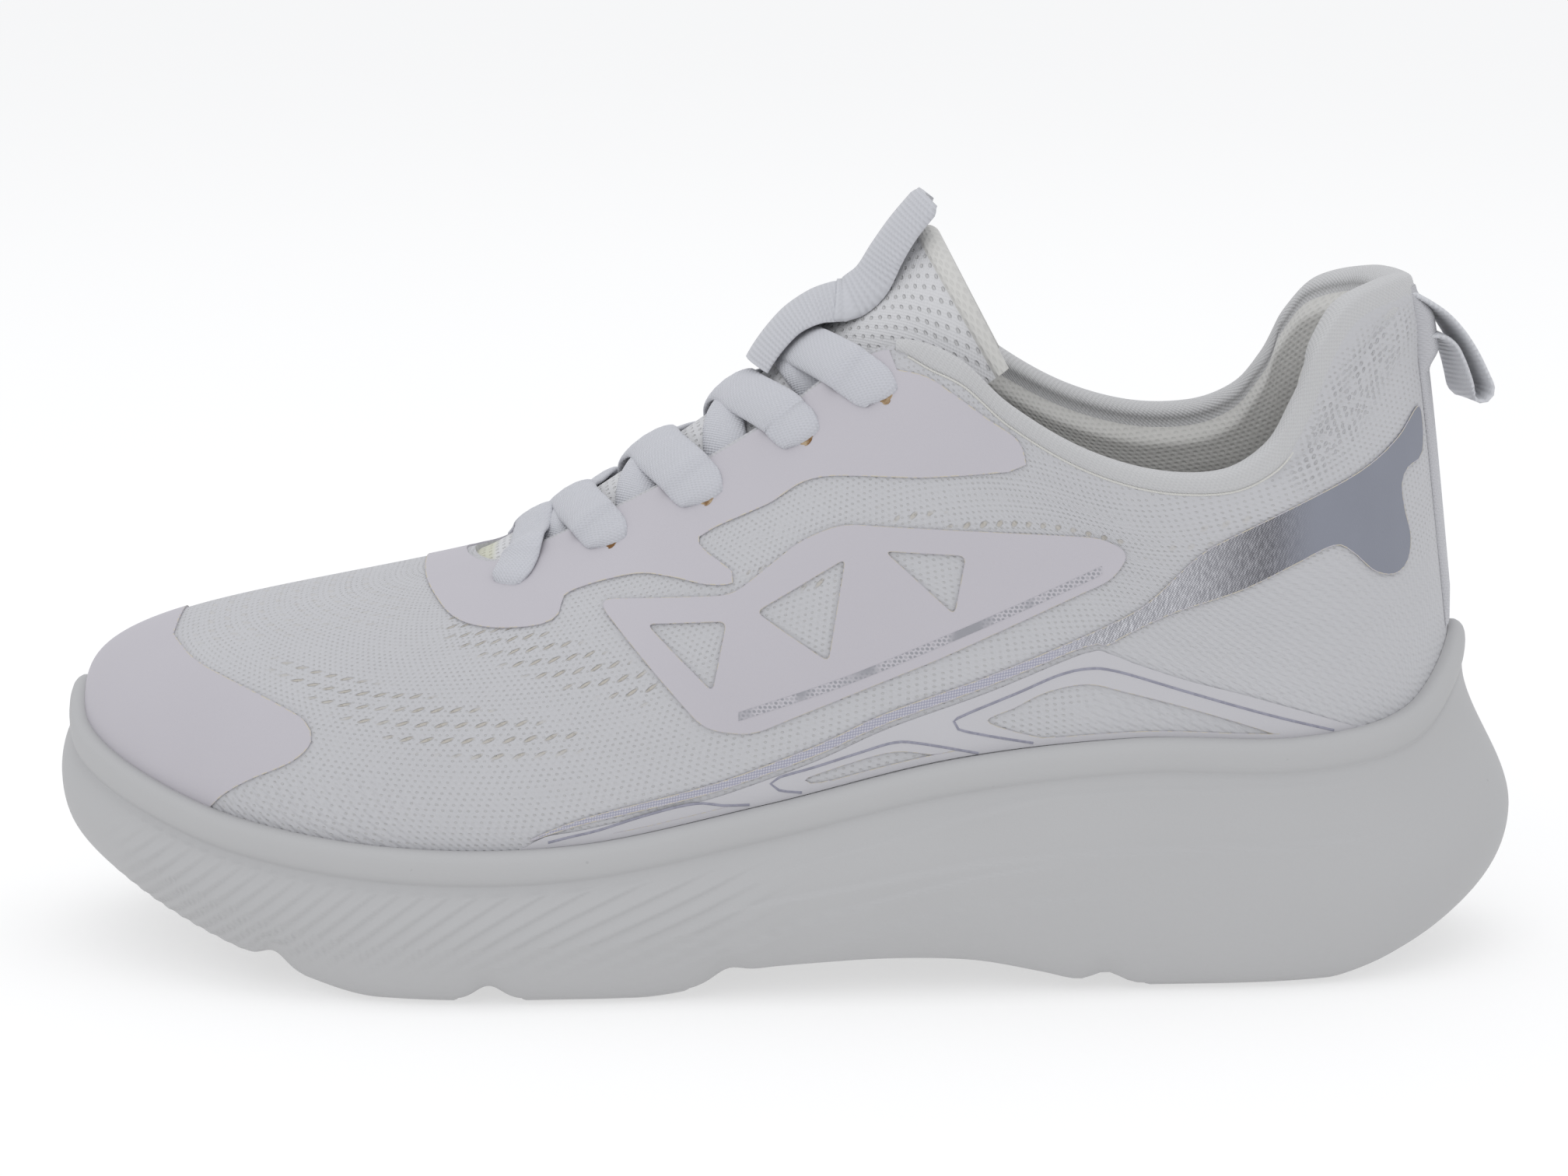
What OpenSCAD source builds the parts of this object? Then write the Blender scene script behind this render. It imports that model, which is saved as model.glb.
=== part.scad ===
// Running shoe for the left foot.
// The toe points to -X, the outer (lateral) side to -Y, and the ground is z = 0.
// Every layer of the upper is an offset of one lofted surface. The surface is a ring of ribs:
// each rib starts at the sole's rim (the feather line) and ends at the throat or the topline.
// A place round the ring is a number from 0 to 200: 0 is the toe, 100 the heel,
// 0 to 100 runs along the lateral side and 100 to 200 back along the medial side.

/* [Size] */
// Length of the shoe over the sole
overall_len = 268; // [255:1:280]
// How much higher the medial topline is than the lateral one
medial_rise = 4.5; // [0:0.5:7]

/* [Sole] */
// Thickness of the rubber outsole pads
pad_t = 2.4; // [1.8:0.1:2.8]
// Height of the rounded rim bead that grips the upper
rim_h = 5.6; // [4:0.2:7]
// How far the rim bead stands out from the upper
rim_out = 3.2; // [2.4:0.1:4]
// Thickness of the loose insole
sockliner_t = 4; // [2.5:0.5:5]

/* [Upper] */
// Thickness of the knitted upper
knit_t = 1.6; // [1.2:0.1:2]
// Thickness of the bonded films
film_t = 0.5; // [0.4:0.05:0.8]
// Thickness of the lining and the tapes
lining_t = 1; // [0.8:0.1:1.2]
// Thickness of the heel counter and the toe puff
stiffener_t = 1.2; // [0.8:0.1:1.5]
// Thickness of the collar padding at its fullest
collar_pad_t = 6.5; // [4:0.5:8]
// Glue or sewing gap between two layers
gap = 0.15; // [0.1:0.05:0.2]

/* [Tongue and lacing] */
// Thickness of the tongue padding
tongue_pad_t = 2.6; // [2:0.2:4]
// Width of the flat lace
lace_w = 8.6; // [7:0.2:9]
// Thickness of the flat lace
lace_t = 1.3; // [1:0.1:1.5]
// Width of the webbing on the tongue
webbing_w = 17; // [14:1:20]
// Thickness of all webbing
webbing_t = 1.5; // [1.2:0.1:2]
// Width of the heel loop
loop_w = 13; // [10:1:16]
// Width of the strip down the back of the heel
strip_w = 12; // [10:1:14]

/* [Hidden] */
nominal_len = 268;
size = overall_len / nominal_len;
ring = 200;

// ---------------------------------------------------------------- design curves

// Feather line, where the upper meets the rim of the sole: [place, [x, y, z]]
feather = [
    [0, [-130.2, 7, 46.8]], [8, [-127.5, -8, 41]], [17, [-115, -23, 35.3]],
    [27, [-95, -35, 29.7]], [38, [-67, -43.8, 27]], [49, [-36, -43.8, 27.6]],
    [58.5, [-3, -40.5, 34]], [67.5, [30, -37.5, 41.5]], [75.5, [62, -35, 44.8]],
    [83, [92, -31.5, 44.2]], [91, [112.6, -21, 47.7]], [100, [122.9, 0, 59]],
    [109, [112.6, 20.5, 47.7]], [117, [92, 30, 44.6]], [124.5, [62, 32, 46]],
    [132.5, [30, 32.5, 43.5]], [141.5, [-3, 37, 36]], [151, [-36, 42.6, 29]],
    [162, [-67, 44.7, 27.5]], [173, [-95, 41.6, 30]], [183, [-115, 34, 35.5]],
    [192, [-127.5, 21, 41.5]]
];

// Lateral half of the throat and topline edge: [place, [x, y, z]]
edge_half = [
    [0, [-57, 0, 73.5]], [10, [-55.5, -6.5, 73]], [20, [-51.5, -12, 73.4]],
    [28, [-46, -15.3, 76.3]], [36, [-37, -17.2, 80.8]], [46, [-21, -18, 89]],
    [55, [-3, -18.6, 99.8]], [62.5, [12, -20, 111]], [67, [21, -21.5, 113.6]],
    [71.5, [31, -24, 110.3]], [75, [40, -26.3, 102.4]], [79.5, [53, -28.6, 94.8]],
    [83, [66, -29.8, 91]], [86, [78, -29.6, 91.2]], [88.4, [86, -28, 96]],
    [90.3, [90.5, -26, 103.6]], [92.4, [94.5, -23.6, 113.2]], [94.8, [100.5, -19, 120.4]],
    [97.6, [109.5, -10.5, 123.4]], [100, [113.5, 0, 123.2]]
];

// Shape of the ribs: [place, [lean out at the rim, lower handle, slope at the edge, upper handle]]
rib_half = [
    [0, [0, 14.5, 14, 34]], [8, [3, 15.5, 16, 33]], [17, [6, 17, 22, 29]], [27, [7, 18, 32, 24]],
    [38, [6, 19, 42, 19]], [49, [4, 21, 46, 21]], [58.5, [2, 24, 50, 23]], [67.5, [0, 25, 60, 20]],
    [75.5, [-2, 20, 72, 15]], [83, [-2, 17, 78, 13]], [91, [-4, 22, 74, 12]], [100, [-7, 26, 70, 9]]
];

// Sole wall: [place, [flare at the fullest point, its height share, bottom edge offset, s-shape]]
wall_half = [
    [0, [4.9, 0.7, -1, 0]], [8, [5, 0.66, -0.8, 0]], [17, [5, 0.58, 0, 0]],
    [27, [5.6, 0.52, 1.2, 0]], [38, [6, 0.5, 2, 0]], [49, [6, 0.5, 2.4, 0.1]],
    [58.5, [6.2, 0.46, 1.6, 0.2]], [67.5, [6.6, 0.42, 1.4, 0.3]], [75.5, [7.2, 0.4, 2.4, 0.4]],
    [83, [8, 0.38, 3, 0.6]], [91, [10.1, 0.36, 3, 0.9]], [100, [12.3, 0.34, 2.4, 1]]
];

// Underside of the sole along its length: [x, [z]]
ground = [
    [-145, [25]], [-133, [18.5]], [-126, [15.8]], [-114, [11.2]], [-106, [8.5]], [-98, [6.1]],
    [-92, [4.4]], [-84, [2.1]], [-77, [0.5]], [-72, [0]], [-26, [0]], [-18, [0.8]], [-8, [3]],
    [6, [4.1]], [20, [4.5]], [34, [3.8]], [46, [1.5]], [53, [0]], [98, [0]], [105, [1.4]],
    [112, [4]], [118, [6.6]], [124, [9.6]], [132, [14.5]], [145, [24]]
];

// Floor of the sole's cup along its length: [x, [z]]
cup_floor = [
    [-135, [34]], [-124, [28.5]], [-108, [22.5]], [-90, [18.8]], [-67, [17.4]], [-40, [17.8]],
    [-10, [22]], [20, [27.5]], [50, [31.5]], [80, [33]], [125, [33]]
];

// ---------------------------------------------------------------- curve functions

// Index of the row of a table that holds key k
function row_of(tab, k, i = 0) = (i >= len(tab) - 1 || k < tab[i + 1][0]) ? i : row_of(tab, k, i + 1);
// Key and value of row i of a ring table, counted on past its end
function ring_key(tab, i) = tab[(i + len(tab)) % len(tab)][0] + ring * floor(i / len(tab));
function ring_val(tab, i) = tab[(i + len(tab)) % len(tab)][1];
function ring_slope(tab, i) =
    (ring_val(tab, i + 1) - ring_val(tab, i - 1)) / (ring_key(tab, i + 1) - ring_key(tab, i - 1));
// Cubic between two values a and b with end slopes
function cubic(a, b, sa, sb, h, t) =
    a * (2 * t ^ 3 - 3 * t ^ 2 + 1) + sa * h * (t ^ 3 - 2 * t ^ 2 + t)
    + b * (3 * t ^ 2 - 2 * t ^ 3) + sb * h * (t ^ 3 - t ^ 2);
// Smooth closed curve through a ring table
function ring_at(tab, k) = let (
        kk = k - ring * floor(k / ring),
        i = row_of(tab, kk),
        h = ring_key(tab, i + 1) - ring_key(tab, i)
    ) cubic(ring_val(tab, i), ring_val(tab, i + 1), ring_slope(tab, i), ring_slope(tab, i + 1),
            h, (kk - ring_key(tab, i)) / h);
// Smooth open curve through a table
function open_slope(tab, i) = let (a = max(i - 1, 0), b = min(i + 1, len(tab) - 1))
    (tab[b][1] - tab[a][1]) / (tab[b][0] - tab[a][0]);
function open_at(tab, k) = let (
        i = min(row_of(tab, k), len(tab) - 2),
        h = tab[i + 1][0] - tab[i][0]
    ) cubic(tab[i][1], tab[i + 1][1], open_slope(tab, i), open_slope(tab, i + 1),
            h, (k - tab[i][0]) / h);
// Mirrors a lateral half table into a full ring table; rise lifts the medial z
function both_sides(half, flip, rise = 0) = concat(half, [
    for (i = [len(half) - 2 : -1 : 1])
        let (k = half[i][0], p = half[i][1])
        [ring - k, flip ? [p[0], -p[1], p[2] + rise * topline_share(k)] : p]
]);
// 1 along the low part of the topline, fading to 0 at the throat and at the heel
function topline_share(k) = let (s = max(0, min(1, (k - 60) / 14)) * max(0, min(1, (93 - k) / 7)))
    s * s * (3 - 2 * s);

edge = both_sides(edge_half, true, medial_rise);
ribs = both_sides(rib_half, false);
walls = both_sides(wall_half, false);

function feather_at(k) = ring_at(feather, k);
function edge_at(k) = ring_at(edge, k);
function ground_z(x) = max(0, open_at(ground, x)[0]);
function floor_z(x) = open_at(cup_floor, x)[0];
function unit(v) = v / norm(v);
// Smooth step from 0 at a to 1 at b
function ramp(a, b, x) = let (t = max(0, min(1, (x - a) / (b - a)))) t * t * (3 - 2 * t);
// Outward direction in plan at place k of a ring table
function outward(tab, k) = let (d = ring_at(tab, k + 0.5) - ring_at(tab, k - 0.5))
    unit([d[1], -d[0], 0]);

// ---------------------------------------------------------------- the lofted surface

tuck_in = 5.5;
// Point of the surface at place k and height share v: v = 0 rim, v = 1 edge, v = -1 sole's cup floor
function loft(k, v) = let (f = feather_at(k), out = outward(feather, k))
    v <= 0
    ? let (depth = f[2] - floor_z(f[0] - out[0] * tuck_in), a = -v * 90,
           tuck = tuck_in * (1 + 0.4 * heel_share(k)))
      f - out * tuck * (1 - cos(a)) - [0, 0, depth * sin(a)]
    : let (e = edge_at(k), r = ring_at(ribs, k), away = outward(edge, k),
           p1 = f + r[1] * (out * sin(r[0]) + [0, 0, cos(r[0])]),
           p2 = e + r[3] * (away * cos(r[2]) - [0, 0, sin(r[2])]),
           w = 1 - v)
      f * w ^ 3 + p1 * 3 * w ^ 2 * v + p2 * 3 * w * v ^ 2 + e * v ^ 3;
function heel_share(k) = let (s = max(0, 1 - abs(k - 100) / 22)) s * s * (3 - 2 * s);

// Grid of the surface: columns round the ring, rows up the ribs
columns = 76;
levels = [-1, -0.6, -0.25, 0, 0.03, 0.1, 0.22, 0.36, 0.5, 0.64, 0.77, 0.88, 0.95, 1];
rim_row = 3;
film_row = 4;
top_row = len(levels) - 1;
grid = [for (i = [0 : columns - 1]) [for (v = levels) loft(i * ring / columns, v)]];
function grid_at(i, j) = grid[(i + columns) % columns][j];
function column_key(i) = (i + columns) % columns * ring / columns;
// Outward normal of the surface at a grid point
normals = [for (i = [0 : columns - 1]) [for (j = [0 : top_row]) let (
        du = grid_at(i + 1, j) - grid_at(i - 1, j),
        dv = grid_at(i, min(j + 1, top_row)) - grid_at(i, max(j - 1, 0))
    ) unit(cross(du, dv))]];
function normal_at(i, j) = normals[(i + columns) % columns][j];
// Point of the surface moved out by a distance
function layer(i, j, out) = size * (grid_at(i, j) + normal_at(i, j) * out);

// Closed solid between two sheets of points, outer and inner: [column][row]
module slab(outer, inner, closed = false) {
    n = len(outer);
    m = len(outer[0]);
    function at(side, i, j) = side * n * m + (i % n) * m + j;
    spans = closed ? n : n - 1;
    sheets = [for (i = [0 : spans - 1], j = [0 : m - 2]) each [
        [at(0, i, j), at(0, i, j + 1), at(0, i + 1, j + 1)],
        [at(0, i, j), at(0, i + 1, j + 1), at(0, i + 1, j)],
        [at(1, i, j), at(1, i + 1, j + 1), at(1, i, j + 1)],
        [at(1, i, j), at(1, i + 1, j), at(1, i + 1, j + 1)]
    ]];
    rims = [for (i = [0 : spans - 1]) each [
        [at(0, i, 0), at(0, i + 1, 0), at(1, i + 1, 0)],
        [at(0, i, 0), at(1, i + 1, 0), at(1, i, 0)],
        [at(0, i, m - 1), at(1, i, m - 1), at(1, i + 1, m - 1)],
        [at(0, i, m - 1), at(1, i + 1, m - 1), at(0, i + 1, m - 1)]
    ]];
    ends = closed ? [] : [for (j = [0 : m - 2]) each [
        [at(0, 0, j), at(1, 0, j), at(1, 0, j + 1)],
        [at(0, 0, j), at(1, 0, j + 1), at(0, 0, j + 1)],
        [at(0, n - 1, j), at(0, n - 1, j + 1), at(1, n - 1, j + 1)],
        [at(0, n - 1, j), at(1, n - 1, j + 1), at(1, n - 1, j)]
    ]];
    polyhedron(points = concat([for (c = outer, p = c) p], [for (c = inner, p = c) p]),
               faces = concat(sheets, rims, ends));
}

// Part of the loft between two offsets, over columns c0..c1 and rows r0..r1
module skin(c0, c1, r0, r1, out, inn) {
    whole = c1 - c0 >= columns;
    last = whole ? c1 - 1 : c1;
    slab([for (i = [c0 : last]) [for (j = [r0 : r1]) layer(i, j, out)]],
         [for (i = [c0 : last]) [for (j = [r0 : r1]) layer(i, j, inn)]], whole);
}

// Closed solid from a stack of rings, each capped by strips from the lateral to the medial side
module stack(rings) {
    n = len(rings[0]);
    m = len(rings);
    function at(r, i) = r * n + (i + n) % n;
    walls = [for (r = [0 : m - 2], i = [0 : n - 1]) each [
        [at(r, i), at(r, i + 1), at(r + 1, i + 1)],
        [at(r, i), at(r + 1, i + 1), at(r + 1, i)]
    ]];
    half = n / 2;
    function cap(r) = concat(
        [[at(r, 0), at(r, -1), at(r, 1)], [at(r, half), at(r, half - 1), at(r, half + 1)]],
        [for (i = [1 : half - 2]) each [
            [at(r, i), at(r, -i), at(r, -i - 1)], [at(r, i), at(r, -i - 1), at(r, i + 1)]
        ]]);
    flip = [for (f = cap(m - 1)) [f[0], f[2], f[1]]];
    polyhedron(points = [for (r = rings, p = r) p], faces = concat(walls, cap(0), flip));
}

// ---------------------------------------------------------------- sole unit

// Rise of the rim's lip over the feather line, and how far out its top reaches
lip_h = 0.6;
lip_w = 2;
// Depth of the crease under the rim bead, and height of the bead's upright face
crease_in = 0.8;
bead_face = 2.2;
// Width of the flat turned in under the wall
under_w = 1.2;
// How far down the sole's wall its curve is at height share t; s blends in an s-shape
function wall_ease(t, s) = (1 - s) * (1 - (1 - t) ^ 2) + s * t * t * (3 - 2 * t);
// Point of the sole's outer profile at column c, moved out from the feather line and set at height z
function sole_point(c, off, z) = let (k = c * ring / columns, f = feather_at(k), o = outward(feather, k))
    size * [f[0] + o[0] * off, f[1] + o[1] * off, z];
// Height of the midsole's underside there, which leaves room for the pads
function bottom_z(c, off) = let (k = c * ring / columns, f = feather_at(k), o = outward(feather, k))
    ground_z(f[0] + o[0] * off) + pad_t + gap;
// Outer profile of the midsole at column c, from the rim's lip to the bottom edge
function sole_profile(c) = let (
        k = c * ring / columns,
        zf = feather_at(k)[2],
        w = ring_at(walls, k),
        oc = rim_out - crease_in,
        zc = zf - rim_h,
        zb = bottom_z(c, w[2]),
        zm = zb + w[1] * (zc - zb)
    ) concat(
        [[gap + lip_h, zf + lip_h], [lip_w, zf + 0.5], [rim_out, zf - 1], [rim_out, zf - 1 - bead_face],
         [oc, zc]],
        [for (t = [0.3, 0.6, 0.85, 1]) [oc + (w[0] - oc) * wall_ease(t, w[3]), zc - t * (zc - zm)]],
        [for (a = [30, 60, 80]) [w[2] + (w[0] - w[2]) * cos(a), zm - (zm - zb) * sin(a)]],
        [[w[2] - under_w, bottom_z(c, w[2] - under_w)]]);
profiles = [for (c = [0 : columns - 1]) sole_profile(c)];

module midsole() {
    cup = [for (r = [0 : rim_row]) [for (c = [0 : columns - 1]) layer(c, r, gap)]];
    wall = [for (r = [0 : len(profiles[0]) - 1])
        [for (c = [0 : columns - 1]) sole_point(c, profiles[c][r][0], profiles[c][r][1])]];
    color([0.9, 0.9, 0.9]) stack(concat(cup, wall));
}

// Edge of the flat underside at a whole column, and anywhere between two columns
function under_edge(c) = let (p = profiles[(c + columns) % columns]) let (q = p[len(p) - 1])
    sole_point(c, q[0], q[1]);
function under_at(c) = let (i = floor(c), t = c - i) under_edge(i) * (1 - t) + under_edge(i + 1) * t;

// One outsole pad between two places along the sole, in columns counted from the toe
module pad(c0, c1) {
    stops = concat([c0], [for (c = [floor(c0) + 1 : ceil(c1) - 1]) c], [c1]);
    // Across the pad: share of the way, and how far the underside is rounded up
    across = [[1.006, 0.7], [0.97, 0], [0.03, 0], [-0.006, 0.7]];
    function spot(c, a) = let (l = under_at(c), m = under_at(columns - c)) l * (1 - a) + m * a;
    function sheet(depth, round_up) =
        [for (c = stops) [for (a = across) spot(c, a[0]) - size * [0, 0, depth - round_up * a[1]]]];
    color([0.95, 0.95, 0.95]) slab(sheet(gap + pad_t, 1), sheet(gap, 0));
}
// Part of a column cut off the pads at the very toe and heel
tip_cut = 0.5;
// Column at which the underside's lateral edge reaches x
function column_at(x, i = 0) = let (a = under_edge(i)[0] / size, b = under_edge(i + 1)[0] / size)
    b >= x ? i + (x - a) / (b - a) : column_at(x, i + 1);
module outsole_toe() { pad(tip_cut, column_at(-92)); }
module outsole_forefoot_front() { pad(column_at(-89.5), column_at(-54)); }
module outsole_forefoot_rear() { pad(column_at(-50), column_at(-12)); }
module outsole_heel() { pad(column_at(60), columns / 2 - tip_cut); }

// More distance from the feather line at the heel, where the surface tucks in further
heel_inset = 3.6;
// Ring inside the upper: distance in from the feather line, height above the cup's floor,
// and the extra room left for the lining in the rear half
function inner_ring(inset, rise, room = 0) = [for (c = [0 : columns - 1]) let (
        k = c * ring / columns, f = feather_at(k), o = outward(feather, k),
        p = f - o * (inset + heel_inset * heel_share(k) + room * ramp(50, 64, 100 - abs(k - 100))))
    size * [p[0], p[1], floor_z(f[0] - o[0] * tuck_in) + rise]];
board_inset = 7;
// Room between the insole and the lining
lining_room = 3.4;

module strobel_board() {
    color([0.85, 0.83, 0.78])
        stack([inner_ring(board_inset, lining_t + gap), inner_ring(board_inset, gap)]);
}
module sockliner() {
    seat = knit_t + 0.4;
    top = seat + sockliner_t;
    // Each ring of the insole, from its dished top down: distance in, height
    rings = [[12, top], [8, top + 0.6], [6.4, top + 0.8], [6.2, seat + 1.6], [7.6, seat]];
    color([0.8, 0.8, 0.8]) stack([for (r = rings) inner_ring(r[0], r[1], lining_room)]);
}

// ---------------------------------------------------------------- upper

module knit_upper() {
    color([0.94, 0.94, 0.94]) skin(0, columns, 0, top_row, 0, -knit_t);
}
// Layer glued to the inner side of the knit, between two columns and two rows
module backing(c0, c1, r0, r1, t) { skin(c0, c1, r0, r1, under_knit, under_knit - t); }
under_knit = -knit_t - gap;
module heel_counter() { color([0.7, 0.7, 0.68]) backing(33, 43, 1, 7, stiffener_t); }
module toe_puff() { color([0.8, 0.8, 0.78]) backing(-6, 6, 1, 8, stiffener_t); }
module eyelet_backings() {
    color([0.85, 0.85, 0.85]) {
        backing(tape_first, tape_last, tape_row, pad_row, lining_t);
        backing(columns - tape_last, columns - tape_first, tape_row, pad_row, lining_t);
    }
}
tape_first = 13;
tape_last = 24;
tape_row = 10;

// First columns of the collar padding and of the lining, and the rows between which the padding lies
pad_first = 26;
lining_first = 25;
foam_row = 9;
pad_row = 12;
// Thickness of the collar padding at its front and lower ends
pad_end_t = 0.9;
// Thickness of the collar padding at a grid point: full behind the throat and high on the rib
function collar_pad(i, j) = let (k = 100 - abs(column_key(i) - 100), v = levels[j])
    pad_end_t + (collar_pad_t - pad_end_t) * ramp(64, 80, k) * ramp(0.4, 0.78, v) * (1 - 0.75 * ramp(0.86, 1, v));
// Depth of the lining's outer side under the knit's outer side
function lining_depth(i, j) = knit_t + gap * 2 + max(stiffener_t + gap, collar_pad(i, j));

module collar_foam() {
    cols = [pad_first : columns - pad_first];
    rows = [foam_row : pad_row];
    color([0.9, 0.9, 0.8]) slab(
        [for (i = cols) [for (j = rows) layer(i, j, under_knit)]],
        [for (i = cols) [for (j = rows) layer(i, j, under_knit - collar_pad(i, j))]]);
}
module collar_lining() {
    cols = [lining_first : columns - lining_first];
    rows = [0 : pad_row];
    color([0.82, 0.82, 0.8]) slab(
        [for (i = cols) [for (j = rows) layer(i, j, -lining_depth(i, j))]],
        [for (i = cols) [for (j = rows) layer(i, j, -lining_depth(i, j) - lining_t)]]);
}
// Band folded over the topline, as a channel in section; it stands this far above the knit's edge
band_lift = 5 * gap;
module topline_band() {
    cols = [pad_first : columns - pad_first];
    function wrap(i, o) = let (
            d = lining_depth(i, pad_row) + lining_t + gap,
            e = lining_depth(i, top_row) + lining_t + gap,
            up = unit(grid_at(i, top_row) - grid_at(i, pad_row)) * size * (band_lift + o))
        [layer(i, pad_row, gap + o), layer(i, top_row, gap + o), layer(i, top_row, gap + o) + up,
         layer(i, top_row, -e - o) + up, layer(i, top_row, -e - o), layer(i, pad_row, -d - o)];
    color([0.95, 0.95, 0.95])
        slab([for (i = cols) wrap(i, lining_t)], [for (i = cols) wrap(i, 0)]);
}

// ---------------------------------------------------------------- films on the upper

// Outlines in the x z plane
toe_cap_outline = [
    [-102.5, 31], [-100, 34.5], [-95, 37.7], [-87, 41.5], [-83.5, 45], [-85, 48.2], [-91, 50.7],
    [-99, 53.2], [-107, 55.4], [-112.3, 58], [-114, 60.6], [-112.5, 63], [-112, 75], [-145, 75],
    [-145, 25], [-104, 25]
];
eyestay_outline = [
    [-66, 80], [-65, 71.5], [-63, 68], [-60, 66], [-56, 64.7], [-50, 64.4], [-43, 65.3], [-39.8, 66.6],
    [-39.5, 69.8], [-34.7, 71.8], [-26, 74], [-20, 73.8], [-13.5, 72.8], [-8.2, 73.4], [-8.6, 75],
    [-15.2, 79.6], [-13, 81.5], [-3, 86.3], [6.5, 91.3], [25, 91.4], [42, 92.4], [46.8, 93.4],
    [41.2, 97.5], [35.6, 101.4], [30, 105.4], [25.2, 108.4], [20, 109.4], [17, 110], [16, 113], [9, 122],
    [-50, 100]
];
cage_outline = [
    [-47, 20], [-46, 28], [-42, 29.6], [-35, 31], [-17, 35], [-8, 37.5], [6, 42.5], [18, 47.8],
    [36, 54], [53, 60.6], [57.5, 60.4], [61.5, 58.8], [71, 55.6], [82, 52.6], [94, 48.8],
    [108, 44], [108, 38], [60, 38], [10, 28], [-20, 20]
];
cage_windows = [
    [[48, 44], [41, 46.8], [35.2, 49], [40.5, 51.4], [46.5, 54], [53.6, 55.2], [60.7, 53.6],
     [71.4, 50.7], [82, 47.4], [93, 44], [70, 42]],
    [[7, 35.5], [2.6, 38.7], [6.3, 40.5], [18, 43.8], [24.5, 43.4], [32, 41], [20, 37]],
    [[-31, 27.5], [-25, 30.6], [-18.5, 32.2], [-14, 32.6], [-9.5, 31.6], [-20, 27]]
];
foil_outline = [
    [-48, 27.5], [-42, 31.4], [-35, 33.5], [-17, 37.6], [-8, 40.1], [6, 45.3], [18, 50.6],
    [36, 56.6], [53.6, 63.8], [61, 67], [65, 69.4], [73, 77.2], [78, 80.2], [90, 85.7],
    [103, 91.5], [113, 96.8], [118, 101], [118, 92.6], [113.9, 91], [111.8, 88], [112.3, 83.7],
    [113.9, 77.7], [113.3, 73.8], [110.9, 72.3], [108.4, 72.2], [105, 73.6], [101, 77.4],
    [97.4, 78.7], [90, 75.5], [80.7, 71.3], [68.7, 67.5], [60.5, 63.6], [57, 61.6], [53, 61.4],
    [36, 54.8], [18, 48.6], [6, 43.3], [-8, 38.3], [-17, 35.8], [-35, 31.8], [-42, 30.4], [-46.5, 26.5]
];
frame_outline = [
    [-33, 69.5], [-9, 71], [3, 80.5], [10, 83.4], [56, 80.6], [61, 78], [58, 73.5],
    [28, 60.4], [-6, 47.2], [-14, 48.4]
];
// Corners of the frame's triangular windows, in turn on the upper and the lower chord
frame_zigzag = [[-28, 67.4], [-11.5, 51.5], [-8, 68.5], [9, 57], [13, 80.8], [31, 64.5], [34, 79.4],
    [50, 72.6], [55, 78.2]];
frame_bar = 1.6;

// Rounding of the cut corners, and a distance well past either side of the shoe
cut_r = 0.8;
beyond = 400;
// Film between two columns, cut to an outline seen from the side. It is kept where
// y lies between -near and far.
module film(c0, c1, near = beyond, far = beyond) {
    resize([0, 0, 0]) intersection() {
        skin(c0, c1, film_row, top_row, gap + film_t, gap);
        scale(size) translate([0, far, 0]) rotate([90, 0, 0]) linear_extrude(near + far)
            offset(r = cut_r, $fn = 16) offset(delta = -cut_r) children();
    }
}
// Columns of the side films, which stop short of the heel strip
side_first = 7;
side_last = 38;
film_end = strip_w / 2 + 0.8;
module lateral_film() { film(side_first, side_last, beyond, -film_end) children(); }
module medial_film() { film(columns - side_last, columns - side_first, -film_end, beyond) children(); }

module side_frame_outline() {
    difference() {
        polygon(frame_outline);
        for (i = [0 : 2 : len(frame_zigzag) - 3])
            offset(delta = -frame_bar)
                polygon([frame_zigzag[i], frame_zigzag[i + 1], frame_zigzag[i + 2]]);
    }
}
module cage_film_outline() {
    difference() {
        polygon(cage_outline);
        for (w = cage_windows) polygon(w);
    }
}
module toe_cap_film() {
    color([0.93, 0.92, 0.94]) film(-14, 14) polygon(toe_cap_outline);
}
module eyestay_film() {
    color([0.94, 0.93, 0.94]) film(0, columns) polygon(eyestay_outline);
}
module lateral_side_frame() { color([0.93, 0.92, 0.94]) lateral_film() side_frame_outline(); }
module medial_side_frame() { color([0.93, 0.92, 0.94]) medial_film() side_frame_outline(); }
module lateral_cage_film() { color([0.9, 0.9, 0.91]) lateral_film() cage_film_outline(); }
module medial_cage_film() { color([0.9, 0.9, 0.91]) medial_film() cage_film_outline(); }
module lateral_heel_foil() { color([0.62, 0.63, 0.68]) lateral_film() polygon(foil_outline); }
module medial_heel_foil() { color([0.62, 0.63, 0.68]) medial_film() polygon(foil_outline); }

// Row at which the heel strip ends, under the topline band
strip_row = 11;
module heel_strip() {
    color([0.93, 0.94, 0.96]) resize([0, 0, 0]) intersection() {
        skin(35, 41, film_row, strip_row, gap + webbing_t, gap);
        translate([0, -strip_w / 2, 0]) cube([beyond, strip_w, beyond]);
    }
}

// Pull loop of webbing at the top of the heel, drawn in the x z plane
loop_path = [
    [119.6, 117.4], [122.2, 115.6], [124.8, 111.2], [127.6, 106], [129.2, 102.4], [128, 100.6],
    [126, 101], [124, 103.6], [122.4, 107], [121, 110.4]
];
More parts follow.
